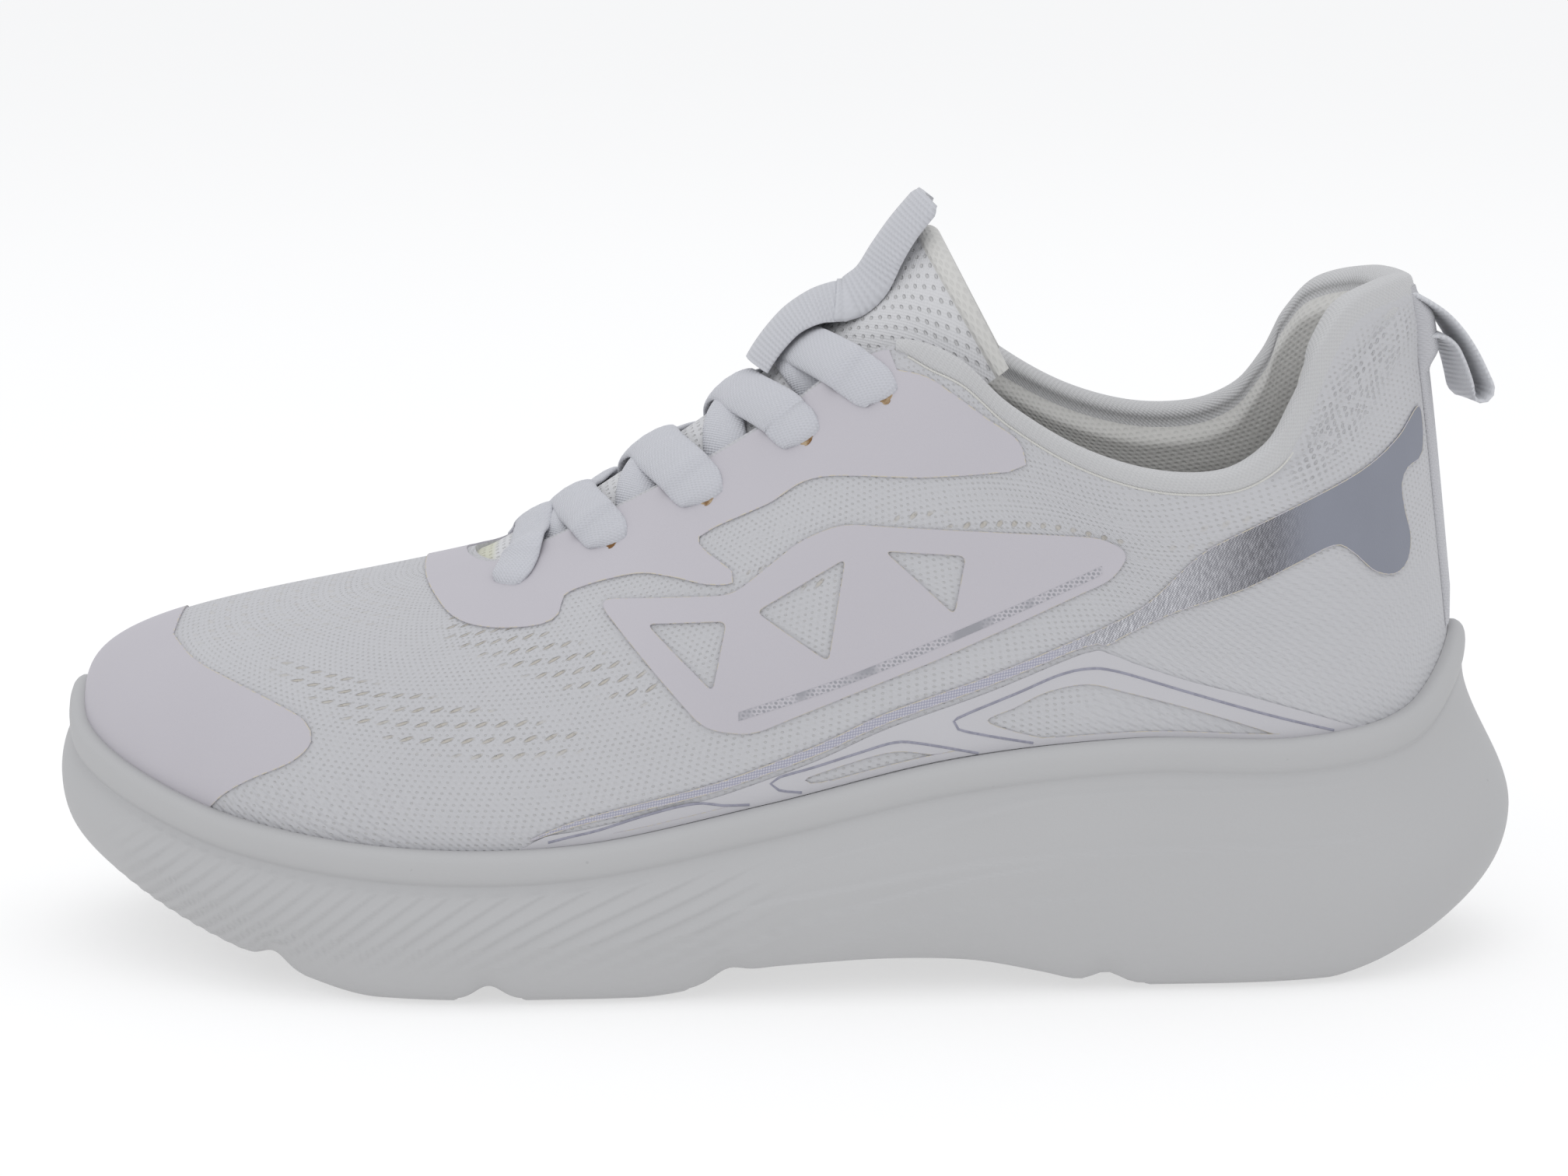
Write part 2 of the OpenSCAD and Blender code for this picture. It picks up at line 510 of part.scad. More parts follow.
// Flat outline of a bent strip of even thickness
function side_of(path, i) = let (a = path[max(i - 1, 0)], b = path[min(i + 1, len(path) - 1)], d = b - a)
    [d[1], -d[0]] / norm(d);
function strip_outline(path, t) = concat(
    [for (i = [0 : len(path) - 1]) path[i] + side_of(path, i) * t / 2],
    [for (i = [len(path) - 1 : -1 : 0]) path[i] - side_of(path, i) * t / 2]);
module flat_strip(path, t, w) {
    scale(size) translate([0, w / 2, 0]) rotate([90, 0, 0]) linear_extrude(w)
        polygon(strip_outline(path, t));
}
module heel_pull_loop() {
    color([0.88, 0.89, 0.92]) flat_strip(loop_path, webbing_t, loop_w);
}

// ---------------------------------------------------------------- tongue

// Crown line of the tongue: [share of the way up, [x, z, half width, drop at the sides, arch angle]]
tongue_line = [
    [0, [-62, 68.6, 18, 4, 45]], [0.09, [-52, 72.8, 19, 6, 48]], [0.2, [-40, 80.6, 20.5, 9.5, 54]],
    [0.32, [-28, 88.6, 21, 11.5, 58]], [0.45, [-15, 97.4, 21, 13.5, 62]],
    [0.56, [-4, 105.6, 20.5, 16, 66]], [0.67, [6, 113.8, 19.5, 19, 70]],
    [0.78, [14, 120.6, 18.2, 22, 75]], [0.89, [20, 127, 17.4, 25, 80]], [1, [25.5, 133.4, 17, 27, 84]]
];
hinge_share = 0.715;
// Share of the length left free at the fold, and how far the tongue can fold back, in degrees
fold_gap = 0.026;
fold_back = 12;
// How far the sides of the tongue's top sweep forward for each unit of drop
side_slant = 0.36;
function tongue_at(s) = open_at(tongue_line, s);
function tongue_dir(s) = let (a = tongue_at(max(s - 0.01, 0)), b = tongue_at(min(s + 0.01, 1)))
    unit([b[0] - a[0], 0, b[1] - a[1]]);
// Point of the tongue: s up its length, q across from -1 to 1, out above its face
function tongue_point(s, q, out) = let (
        t = tongue_at(s), d = tongue_dir(s), up = [-d[2], 0, d[0]], a = q * t[4],
        drop = t[3] * (1 - cos(a)) / (1 - cos(t[4])), slant = -side_slant * drop * ramp(0.5, 1, s),
        n = unit(up * cos(a) + [0, 1, 0] * sin(a) * 1.1)
    ) size * ([t[0], t[2] * sin(a) / sin(t[4]), t[1]] - up * drop + d * slant + n * out);
// Share of the length at which the upper part starts, so that it can fold back
function top_start(q) = let (t = tongue_at(hinge_share), a = q * t[4],
        drop = t[3] * (1 - cos(a)) / (1 - cos(t[4])))
    hinge_share + fold_gap + drop * (tan(fold_back) + side_slant * ramp(0.5, 1, hinge_share)) / 100;

tongue_steps = 9;
across_steps = 10;
// One layer of the tongue between two heights; top picks the part above the fold
module tongue_layer(top, out, inn) {
    function start(q) = top ? top_start(q) : 0;
    function stop(q) = top ? 1 : hinge_share - 0.006;
    function sheet(o) = [for (i = [0 : tongue_steps]) [for (j = [0 : across_steps]) let (
            q = 2 * j / across_steps - 1, t = i / tongue_steps)
        tongue_point(start(q) * (1 - t) + stop(q) * t, q, o)]];
    slab(sheet(out), sheet(inn));
}
// Thickness of the tongue's mesh face, then heights of the padding's two sides and of the lining's
face_t = 1;
pad_out = -face_t - gap;
pad_inn = pad_out - tongue_pad_t;
lining_out = pad_inn - gap;
lining_inn = lining_out - lining_t;
module face_part(top) { color([0.93, 0.93, 0.93]) tongue_layer(top, 0, -face_t); }
module padding_part(top) { color([0.9, 0.9, 0.8]) tongue_layer(top, pad_out, pad_inn); }
module lining_part(top) { color([0.82, 0.82, 0.8]) tongue_layer(top, lining_out, lining_inn); }
module tongue_face() { face_part(false); }
module tongue_padding() { padding_part(false); }
module tongue_lining() { lining_part(false); }
module tongue_top_face() { face_part(true); }
module tongue_top_padding() { padding_part(true); }
module tongue_top_lining() { lining_part(true); }

// Webbing sewn along the tongue's crown, and its free end, drawn in the x z plane
keeper_path = [[-5.4, 110.4], [-3, 113.8], [0.5, 117.6], [5, 120.6], [9, 122]];
tab_path = [[10.6, 122.2], [14, 124.4], [17, 129], [20.4, 133.8], [25, 139.2]];
module tongue_webbing() { color([0.93, 0.94, 0.97]) flat_strip(keeper_path, webbing_t, webbing_w); }
module tongue_pull_tab() { color([0.93, 0.94, 0.97]) flat_strip(tab_path, 2 * webbing_t, webbing_w); }

// ---------------------------------------------------------------- laces

// Places of the lace holes along the throat
hole_places = [30.5, 41.5, 50.5, 59, 65.6];
hole_level = 0.86;
function loft_normal(k, v) = unit(cross(loft(k + 0.5, v) - loft(k - 0.5, v),
                                        loft(k, min(1, v + 0.02)) - loft(k, v - 0.02)));
function on_upper(k, v, out) = size * (loft(k, v) + loft_normal(k, v) * out);
// Share of the tongue's length beside lace hole i
hole_shares = [0.12, 0.29, 0.44, 0.585, 0.70];
// Smooth path through points, split into short pieces
function through(p, i, t) = let (n = len(p), a = p[max(i - 1, 0)], b = p[min(i + 2, n - 1)])
    cubic(p[i], p[i + 1], (p[i + 1] - a) / 2, (b - p[i]) / 2, 1, t);
function smooth(p, cuts) = concat(
    [for (i = [0 : len(p) - 2], c = [0 : cuts - 1]) through(p, i, c / cuts)], [p[len(p) - 1]]);
// Flat ribbon along a path; along is the direction its width lies near
module ribbon(path, along, w, t) {
    n = len(path);
    frames = [for (i = [0 : n - 1]) let (
            d = unit(path[min(i + 1, n - 1)] - path[max(i - 1, 0)]),
            side = unit(along - d * (along * d)))
        [side, cross(side, d)]];
    function row(i, o) = [for (a = [0.5, 0.25, -0.25, -0.5])
        path[i] + frames[i][0] * w * a + frames[i][1] * (o + 0.35 * (1 - 4 * a * a))];
    slab([for (i = [0 : n - 1]) row(i, t)], [for (i = [0 : n - 1]) row(i, 0)]);
}
// Height of a lace's underside above the film
lace_lift = film_t + gap + 0.6;
// Lace from under one side of the throat, over the tongue, to hole i of the other side
module crossing(i, side, high) {
    k = side > 0 ? hole_places[i] : ring - hole_places[i];
    s0 = hole_shares[i - 1];
    s1 = hole_shares[i];
    path = [
        tongue_point(s0 + 0.03, side * 0.6, 1),
        tongue_point(s0 * 0.7 + s1 * 0.3, side * 0.3, high * 0.8 + 0.8),
        tongue_point((s0 + s1) / 2, 0, high + 0.7),
        tongue_point(s0 * 0.25 + s1 * 0.75, -side * 0.45, high + 2.6),
        on_upper(k, 0.99, lace_lift + 1.8),
        on_upper(k, 0.93, lace_lift + 0.5),
        on_upper(k, hole_level, lace_lift + 0.1)
    ];
    ribbon(smooth(path, 2), -side * tongue_dir((s0 + s1) / 2), lace_w * size, lace_t);
}
// First pass of the lace, straight across between the two foremost holes
module first_bar() {
    s = hole_shares[0];
    function half(k) = [on_upper(k, hole_level, lace_lift + 0.1), on_upper(k, 0.93, lace_lift + 0.6),
        on_upper(k, 1, lace_lift + 1.8)];
    medial = half(ring - hole_places[0]);
    lateral = half(hole_places[0]);
    path = [medial[0], medial[1], medial[2], tongue_point(s, 0.4, 3), tongue_point(s + 0.01, 0, 2.6),
        tongue_point(s, -0.4, 3), lateral[2], lateral[1], lateral[0]];
    ribbon(smooth(path, 2), -tongue_dir(s), lace_w * size, lace_t);
}
module laces() {
    color([0.94, 0.95, 0.98]) {
        first_bar();
        for (i = [1 : 4]) {
            crossing(i, 1, i < 4 ? 2.8 : 2);
            crossing(i, -1, i < 4 ? 0.4 : 0.2);
        }
    }
}

midsole();
outsole_toe();
outsole_forefoot_front();
outsole_forefoot_rear();
outsole_heel();
strobel_board();
sockliner();
heel_counter();
toe_puff();
collar_foam();
collar_lining();
eyelet_backings();
knit_upper();
topline_band();
toe_cap_film();
eyestay_film();
lateral_side_frame();
medial_side_frame();
lateral_cage_film();
medial_cage_film();
lateral_heel_foil();
medial_heel_foil();
heel_strip();
heel_pull_loop();
tongue_face();
tongue_padding();
tongue_lining();
tongue_top_face();
tongue_top_padding();
tongue_top_lining();
tongue_webbing();
tongue_pull_tab();
laces();
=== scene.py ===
"""Looks of a left running shoe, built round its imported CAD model.

The toe points to -X, the outer (lateral) side to -Y. Shapes are worked out in millimetres.
A place round the shoe is a number from 0 to 200: 0 is the toe, 100 the heel, 0 to 100 lateral,
100 to 200 medial. A share v runs from 0 at the sole's rim to 1 at the throat or the topline.
"""
import math
import bmesh
import bpy
import numpy as np
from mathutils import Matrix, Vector
from mathutils.geometry import delaunay_2d_cdt


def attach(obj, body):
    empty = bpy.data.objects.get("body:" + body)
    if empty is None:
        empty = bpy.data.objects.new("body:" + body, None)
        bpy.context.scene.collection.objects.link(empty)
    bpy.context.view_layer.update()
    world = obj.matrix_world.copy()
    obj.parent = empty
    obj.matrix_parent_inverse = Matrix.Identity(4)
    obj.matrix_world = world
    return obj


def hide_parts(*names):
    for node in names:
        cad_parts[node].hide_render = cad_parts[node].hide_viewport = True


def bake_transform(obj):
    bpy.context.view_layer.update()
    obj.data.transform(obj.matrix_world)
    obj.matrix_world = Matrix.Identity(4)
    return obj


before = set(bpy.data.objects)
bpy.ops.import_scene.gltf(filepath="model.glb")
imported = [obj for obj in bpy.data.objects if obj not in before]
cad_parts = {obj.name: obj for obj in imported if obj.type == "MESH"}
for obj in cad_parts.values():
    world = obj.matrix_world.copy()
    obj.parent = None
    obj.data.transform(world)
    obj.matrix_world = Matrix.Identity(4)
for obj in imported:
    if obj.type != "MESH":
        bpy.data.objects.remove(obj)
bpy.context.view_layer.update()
MM = 0.001
RING = 200
rng = np.random.default_rng(7)

# ------------------------------------------------------------------ driving dimensions

PAD_T = 2.4
RIM_H = 5.6
KNIT_T = 1.6
LINING_T = 1.0
COLLAR_PAD_T = 6.5
TONGUE_PAD_T = 2.6
LACE_W = 8.8
LACE_T = 1.35
WEBBING_W = 17
WEBBING_T = 1.5
WEBBING_DROP = 3.8
BAND_T = WEBBING_T * 0.85
LOOP_W = 13
STRIP_W = 12
GAP = 0.15
FILM_SKIN = 0.22
FILM_TOP = GAP + FILM_SKIN
MEDIAL_RISE = 4.5
TUCK_IN = 5.5
SOLE_COLUMNS = 760

# ------------------------------------------------------------------ design curves

# Feather line, where the upper meets the sole's rim: place, (x, y, z)
FEATHER = [
    (0, (-130.2, 7, 46.8)), (8, (-127.5, -8, 41)), (17, (-115, -23, 35.3)), (27, (-95, -35, 29.7)),
    (38, (-67, -43.8, 27)), (49, (-36, -43.8, 27.6)), (58.5, (-3, -40.5, 34)), (67.5, (30, -37.5, 41.5)),
    (75.5, (62, -35, 44.8)), (83, (92, -31.5, 44.2)), (91, (112.6, -21, 47.7)), (100, (122.9, 0, 59)),
    (109, (112.6, 20.5, 47.7)), (117, (92, 30, 44.6)), (124.5, (62, 32, 46)), (132.5, (30, 32.5, 43.5)),
    (141.5, (-3, 37, 36)), (151, (-36, 42.6, 29)), (162, (-67, 44.7, 27.5)), (173, (-95, 41.6, 30)),
    (183, (-115, 34, 35.5)), (192, (-127.5, 21, 41.5)),
]
# Lateral half of the throat and topline edge: place, (x, y, z)
EDGE_HALF = [
    (0, (-57, 0, 73.5)), (10, (-55.5, -6.5, 73)), (20, (-51.5, -12, 73.4)), (28, (-46, -15.3, 76.3)),
    (36, (-37, -17.2, 80.8)), (46, (-21, -18, 89)), (55, (-3, -18.6, 99.8)), (62.5, (12, -20, 111)),
    (67, (21, -21.5, 113.6)), (71.5, (31, -24, 110.3)), (75, (40, -26.3, 102.4)),
    (79.5, (53, -28.6, 94.8)), (83, (66, -29.8, 91)), (86, (78, -29.6, 91.2)), (88.4, (86, -28, 96)),
    (90.3, (90.5, -26, 103.6)), (92.4, (94.5, -23.6, 113.2)), (94.8, (100.5, -19, 120.4)),
    (97.6, (109.5, -10.5, 123.4)), (100, (113.5, 0, 123.2)),
]
# Ribs of the upper: place, (lean out at the rim, lower handle, slope at the edge, upper handle)
RIB_HALF = [
    (0, (0, 14.5, 14, 34)), (8, (3, 15.5, 16, 33)), (17, (6, 17, 22, 29)), (27, (7, 18, 32, 24)),
    (38, (6, 19, 42, 19)), (49, (4, 21, 46, 21)), (58.5, (2, 24, 50, 23)), (67.5, (0, 25, 60, 20)),
    (75.5, (-2, 20, 72, 15)), (83, (-2, 17, 78, 13)), (91, (-4, 22, 74, 12)), (100, (-7, 26, 70, 9)),
]
# Sole wall: place, (flare at its fullest, height share of that, bottom edge offset, s-shape)
WALL_HALF = [
    (0, (4.9, 0.7, -5, 0)), (8, (5, 0.66, -4, 0)), (17, (5, 0.6, -2, 0)), (27, (5.6, 0.54, 0.4, 0)),
    (38, (6, 0.5, 2, 0)), (49, (6, 0.5, 2.4, 0.1)), (58.5, (6.2, 0.46, 1.6, 0.2)),
    (67.5, (6.6, 0.42, 1.4, 0.3)), (75.5, (7.2, 0.4, 2.4, 0.4)), (83, (8, 0.38, 3, 0.6)),
    (91, (10.1, 0.36, 3, 0.9)), (100, (12.3, 0.34, 2.4, 1)),
]
# Underside of the sole along its length: x, (z)
GROUND = [
    (-145, (28,)), (-133, (21,)), (-126, (17.4,)), (-114, (12.2,)), (-106, (9,)), (-98, (6.2,)),
    (-92, (4.4,)), (-84, (2.1,)), (-77, (0.5,)), (-72, (0,)), (-26, (0,)), (-18, (0.8,)), (-8, (3,)),
    (6, (4.1,)), (20, (4.5,)), (34, (3.8,)), (46, (1.5,)), (53, (0,)), (98, (0,)), (105, (1.4,)),
    (112, (4,)), (118, (6.6,)), (124, (9.6,)), (132, (14.5,)), (145, (24,)),
]
# Floor of the sole's cup along its length: x, (z)
CUP_FLOOR = [
    (-135, (34,)), (-124, (28.5,)), (-108, (22.5,)), (-90, (18.8,)), (-67, (17.4,)), (-40, (17.8,)),
    (-10, (22,)), (20, (27.5,)), (50, (31.5,)), (80, (33,)), (125, (33,)),
]
# Crown of the tongue: share of its length, (x, z, half width, drop at the sides, arch angle)
TONGUE = [
    (0, (-62, 68.6, 18, 4, 45)), (0.09, (-52, 72.8, 19, 6, 48)), (0.2, (-40, 80.6, 20.5, 9.5, 54)),
    (0.32, (-28, 88.6, 21, 11.5, 58)), (0.45, (-15, 97.4, 21, 13.5, 62)),
    (0.56, (-4, 105.6, 20.5, 16, 66)), (0.67, (6, 113.8, 19.5, 19, 70)),
    (0.78, (14, 120.6, 18.2, 22, 75)), (0.89, (20, 127, 17.4, 25, 80)), (1, (25.5, 133.4, 17, 27, 84)),
]
TONGUE_HINGE = 0.715
LACE_HOLES = [30.5, 41.5, 50.5, 59, 65.6]
HOLE_LEVEL = 0.86
HOLE_SHARES = [0.118, 0.258, 0.411, 0.574, 0.707]
LACE_LEANS = [4.5, 5, 6.5, 9]
TONGUE_LENGTH = 111


# ------------------------------------------------------------------ curve functions


def ramp(a, b, x):
    """Smooth step from 0 at a to 1 at b."""
    t = np.clip((np.asarray(x, float) - a) / (b - a), 0, 1)
    return t * t * (3 - 2 * t)


def unit(v):
    return v / np.maximum(np.linalg.norm(v, axis=-1, keepdims=True), 1e-9)


def grid(rows, columns):
    return np.meshgrid(rows, columns, indexing="ij")


def cubic(a, b, slope_a, slope_b, t):
    """Cubic from a to b with the slopes at its ends, at shares t."""
    return (a * (2 * t**3 - 3 * t**2 + 1) + slope_a * (t**3 - 2 * t**2 + t)
            + b * (3 * t**2 - 2 * t**3) + slope_b * (t**3 - t**2))


def curve(table, closed=False):
    """Function through a table's rows of key and values. A closed one goes round the ring."""
    keys = np.array([row[0] for row in table], float)
    vals = np.array([row[1] for row in table], float)
    if closed:
        keys = np.concatenate([keys[-2:] - RING, keys, keys[:3] + RING])
        vals = np.concatenate([vals[-2:], vals, vals[:3]])
    low = np.maximum(np.arange(len(keys)) - 1, 0)
    high = np.minimum(np.arange(len(keys)) + 1, len(keys) - 1)
    slopes = (vals[high] - vals[low]) / (keys[high] - keys[low])[:, None]

    def at(x):
        x = np.mod(np.asarray(x, float), RING) if closed else np.asarray(x, float)
        i = np.clip(np.searchsorted(keys, x, side="right") - 1, 0, len(keys) - 2)
        h = keys[i + 1] - keys[i]
        t = ((x - keys[i]) / h)[..., None]
        h = h[..., None]
        return cubic(vals[i], vals[i + 1], slopes[i] * h, slopes[i + 1] * h, t)
    return at


def half_place(k):
    """Place folded onto the lateral half: 0 at the toe, 100 at the heel."""
    return 100 - np.abs(np.mod(k, RING) - 100)


def whole_ring(half, mirrored=False):
    """Adds the medial half of a lateral half table. The medial topline is higher at its low part."""
    rows = list(half)
    for k, p in reversed(half[1:-1]):
        if mirrored:
            low_part = float(ramp(60, 74, k) * (1 - ramp(86, 93, k)))
            p = (p[0], -p[1], p[2] + MEDIAL_RISE * low_part)
        rows.append((RING - k, p))
    return rows


feather = curve(FEATHER, closed=True)
edge = curve(whole_ring(EDGE_HALF, mirrored=True), closed=True)
ribs = curve(whole_ring(RIB_HALF), closed=True)
walls = curve(whole_ring(WALL_HALF), closed=True)
ground_curve = curve(GROUND)
floor_curve = curve(CUP_FLOOR)
tongue_curve = curve(TONGUE)


def ground_z(x):
    return np.maximum(0, ground_curve(x)[..., 0])


def outward(line, k):
    """Outward direction in plan."""
    d = line(k + 0.5) - line(k - 0.5)
    return unit(np.stack([d[..., 1], -d[..., 0], 0 * d[..., 0]], -1))


def heel_share(k):
    return ramp(78, 100, half_place(k))


def cup_floor_z(k):
    """Height of the cup's floor, just inside a place of the feather line."""
    return floor_curve(feather(k)[..., 0] - outward(feather, k)[..., 0] * TUCK_IN)[..., 0]


def loft(k, v):
    """Outer surface of the knit. Below v = 0 it tucks into the sole's cup."""
    k, v = np.broadcast_arrays(np.asarray(k, float), np.asarray(v, float))
    up = np.array([0.0, 0.0, 1.0])
    f = feather(k)
    out = outward(feather, k)
    angle = (np.clip(-v, 0, 1) * math.pi / 2)[..., None]
    depth = (f[..., 2] - cup_floor_z(k))[..., None]
    tuck = (TUCK_IN * (1 + 0.4 * heel_share(k)))[..., None]
    low = f - out * tuck * (1 - np.cos(angle)) - up * depth * np.sin(angle)
    e = edge(k)
    r = ribs(k)
    away = outward(edge, k)
    lean = np.radians(r[..., 0:1])
    slope = np.radians(r[..., 2:3])
    p1 = f + r[..., 1:2] * (out * np.sin(lean) + up * np.cos(lean))
    p2 = e + r[..., 3:4] * (away * np.cos(slope) - up * np.sin(slope))
    t = np.clip(v, 0, 1)[..., None]
    w = 1 - t
    high = f * w**3 + p1 * 3 * w**2 * t + p2 * 3 * w * t**2 + e * t**3
    return np.where((v <= 0)[..., None], low, high)


def loft_normal(k, v):
    k, v = np.broadcast_arrays(np.asarray(k, float), np.asarray(v, float))
    du = loft(k + 0.4, v) - loft(k - 0.4, v)
    dv = loft(k, np.minimum(v + 0.03, 1)) - loft(k, np.maximum(v - 0.03, -1))
    return unit(np.cross(du, dv))


def layer(k, v, out):
    """Point at a distance out from the knit's outer surface."""
    return loft(k, v) + loft_normal(k, v) * np.asarray(out, float)[..., None]


# Places and shares of a grid on the lateral side, for finding where a point of the side view lies
SIDE_K, SIDE_V = grid(np.arange(0, 100.5, 0.5), np.linspace(0, 1, 81))
SIDE_POINTS = loft(SIDE_K, SIDE_V).reshape(-1, 3)
NEWTON_STEPS = 8


def place_of(x, z):
    """Place and share of the lateral surface point seen at x and z from the side."""
    best = [np.argmin((SIDE_POINTS[:, 0] - a) ** 2 + (SIDE_POINTS[:, 2] - b) ** 2) for a, b in zip(x, z)]
    k = SIDE_K.reshape(-1)[best]
    v = SIDE_V.reshape(-1)[best]
    for _ in range(NEWTON_STEPS):
        p = loft(k, v)
        pk = (loft(k + 0.2, v) - loft(k - 0.2, v)) / 0.4
        pv = (loft(k, np.minimum(v + 0.01, 1)) - loft(k, np.maximum(v - 0.01, 0.001))) / 0.02
        ex = x - p[:, 0]
        ez = z - p[:, 2]
        det = pk[:, 0] * pv[:, 2] - pk[:, 2] * pv[:, 0]
        det = np.where(np.abs(det) < 0.05, 0.05, det)
        dk = (ex * pv[:, 2] - ez * pv[:, 0]) / det
        dv = (pk[:, 0] * ez - pk[:, 2] * ex) / det
        k = np.clip(k + np.clip(dk, -2, 2), 0, 100)
        v = np.clip(v + np.clip(dv, -0.05, 0.05), 0.001, 1)
    return k, v


def path_length(path):
    steps = np.linalg.norm(np.diff(path, axis=0), axis=1)
    return np.concatenate([[0], np.cumsum(steps)])


def line_distance(x, z, line):
    """Distance of side-view points from a polyline, and how far along it they lie (0 to 1)."""
    line = np.array(line, float)
    run = path_length(line)
    best = np.full(np.shape(x), 1e9)
    along = np.zeros(np.shape(x))
    for a, b, done in zip(line[:-1], line[1:], run):
        d = b - a
        length = np.linalg.norm(d)
        t = np.clip(((x - a[0]) * d[0] + (z - a[1]) * d[1]) / length**2, 0, 1)
        dist = np.hypot(x - a[0] - t * d[0], z - a[1] - t * d[1])
        along = np.where(dist < best, (done + t * length) / run[-1], along)
        best = np.minimum(best, dist)
    return best, along


def smooth_line(points, step, closed=False):
    """Catmull-Rom curve through points, sampled about every step mm."""
    p = np.array(points, float)
    around = np.concatenate([p[-1:], p, p[:2]]) if closed else np.concatenate([p[:1], p, p[-1:]])
    rows = []
    for a, b, c, d in zip(around, around[1:], around[2:], around[3:]):
        cuts = max(1, int(np.linalg.norm(c - b) / step))
        rows.append(cubic(b, c, (c - a) / 2, (d - b) / 2, (np.arange(cuts) / cuts)[:, None]))
    return np.concatenate(rows if closed else rows + [p[-1:]])


def round_corners(points, radius, step=0.8):
    """Closed outline with straight sides and rounded corners."""
    p = np.array(points, float)
    rows = []
    for a, b, c in zip(np.roll(p, 1, 0), p, np.roll(p, -1, 0)):
        back = np.linalg.norm(a - b)
        ahead = np.linalg.norm(c - b)
        r = min(radius, 0.45 * back, 0.45 * ahead)
        start = b + (a - b) / back * r
        end = b + (c - b) / ahead * r
        t = np.linspace(0, 1, 7)[:, None]
        rows.append((1 - t) ** 2 * start + 2 * t * (1 - t) * b + t**2 * end)
        after = c + (b - c) / ahead * min(radius, 0.45 * ahead)
        cuts = int(np.linalg.norm(after - end) / step)
        if cuts > 1:
            rows.append(end + (after - end) * (np.arange(1, cuts) / cuts)[:, None])
    return np.concatenate(rows)


# ------------------------------------------------------------------ mesh helpers


def link(obj):
    bpy.context.scene.collection.objects.link(obj)
    return obj


def make_mesh(name, verts, faces, materials, face_slots=None, uv=None, attributes=None, angle=38):
    """New object from millimetre points, with outward normals and smooth shading."""
    mesh = bpy.data.meshes.new(name)
    mesh.from_pydata((np.asarray(verts) * MM).tolist(), [], [list(f) for f in faces])
    for material in materials:
        mesh.materials.append(material)
    if face_slots is not None:
        mesh.polygons.foreach_set("material_index", np.asarray(face_slots, np.int32))
    for key, values in (attributes or {}).items():
        data = mesh.attributes.new(key, "FLOAT", "POINT").data
        data.foreach_set("value", np.asarray(values, np.float32))
    if uv is not None:
        corners = np.zeros(len(mesh.loops), np.int32)
        mesh.loops.foreach_get("vertex_index", corners)
        layer_uv = mesh.uv_layers.new(name="weave")
        layer_uv.data.foreach_set("uv", np.asarray(uv, np.float32)[corners].reshape(-1))
    work = bmesh.new()
    work.from_mesh(mesh)
    bmesh.ops.recalc_face_normals(work, faces=work.faces)
    work.to_mesh(mesh)
    work.free()
    mesh.shade_smooth()
    mesh.set_sharp_from_angle(angle=math.radians(angle))
    return link(bpy.data.objects.new(name, mesh))


def quads(n, m, wrap_rows=False, wrap_columns=False):
    """Faces of a grid of n rows of m points, which may close on itself either way."""
    i, j = grid(np.arange(n if wrap_rows else n - 1), np.arange(m if wrap_columns else m - 1))
    i, j = i.ravel(), j.ravel()
    below = (i + 1) % n
    right = (j + 1) % m
    return np.stack([i * m + j, i * m + right, below * m + right, below * m + j], 1)


def slab(name, outer, inner, materials, closed=False, uv=None, attributes=None, angle=38):
    """Closed solid between two grids of points."""
    n, m = outer.shape[:2]
    over = n * m
    sheet = quads(n, m, closed)
    faces = [sheet, sheet[:, [0, 3, 2, 1]] + over]
    s = np.arange(n if closed else n - 1)
    t = (s + 1) % n
    for row in (0, m - 1):
        faces.append(np.stack([s * m + row, t * m + row, t * m + row + over, s * m + row + over], 1))
    if not closed:
        for col in (0, n - 1):
            r = col * m + np.arange(m - 1)
            faces.append(np.stack([r, r + 1, r + 1 + over, r + over], 1))
    verts = np.concatenate([outer.reshape(-1, 3), inner.reshape(-1, 3)])
    if uv is not None:
        uv = np.concatenate([uv.reshape(-1, 2)] * 2)
    attributes = {key: np.concatenate([np.ravel(v)] * 2) for key, v in (attributes or {}).items()}
    return make_mesh(name, verts, np.concatenate(faces), materials, uv=uv, attributes=attributes, angle=angle)


def ring_faces(m, n):
    """Faces of m stacked rings of n points, whose two ends are closed by strips across them."""
    faces = quads(m, n, wrap_columns=True).tolist()
    half = n // 2
    for base in (0, (m - 1) * n):
        faces.append([base, base + 1, base + n - 1])
        faces.append([base + half, base + half - 1, base + half + 1])
        for c in range(1, half - 1):
            faces.append([base + c, base + c + 1, base + n - c - 1, base + n - c])
    return faces


def tube_faces(n, m, closed=False):
    """Quads of a tube of n rings of m points, with flat caps unless it is closed."""
    faces = quads(n, m, closed, True).tolist()
    if not closed:
        faces.append(list(range(m)))
        faces.append([(n - 1) * m + q for q in reversed(range(m))])
    return faces


def section(width, height, count):
    """Rounded flat cross-section, as points (across, up)."""
    a = np.arange(count) * 2 * math.pi / count
    c = np.cos(a)
    s = np.sin(a)
    return np.stack([width / 2 * np.sign(c) * np.abs(c) ** (2 / 3),
                     height / 2 * np.sign(s) * np.abs(s) ** (2 / 3)], 1)


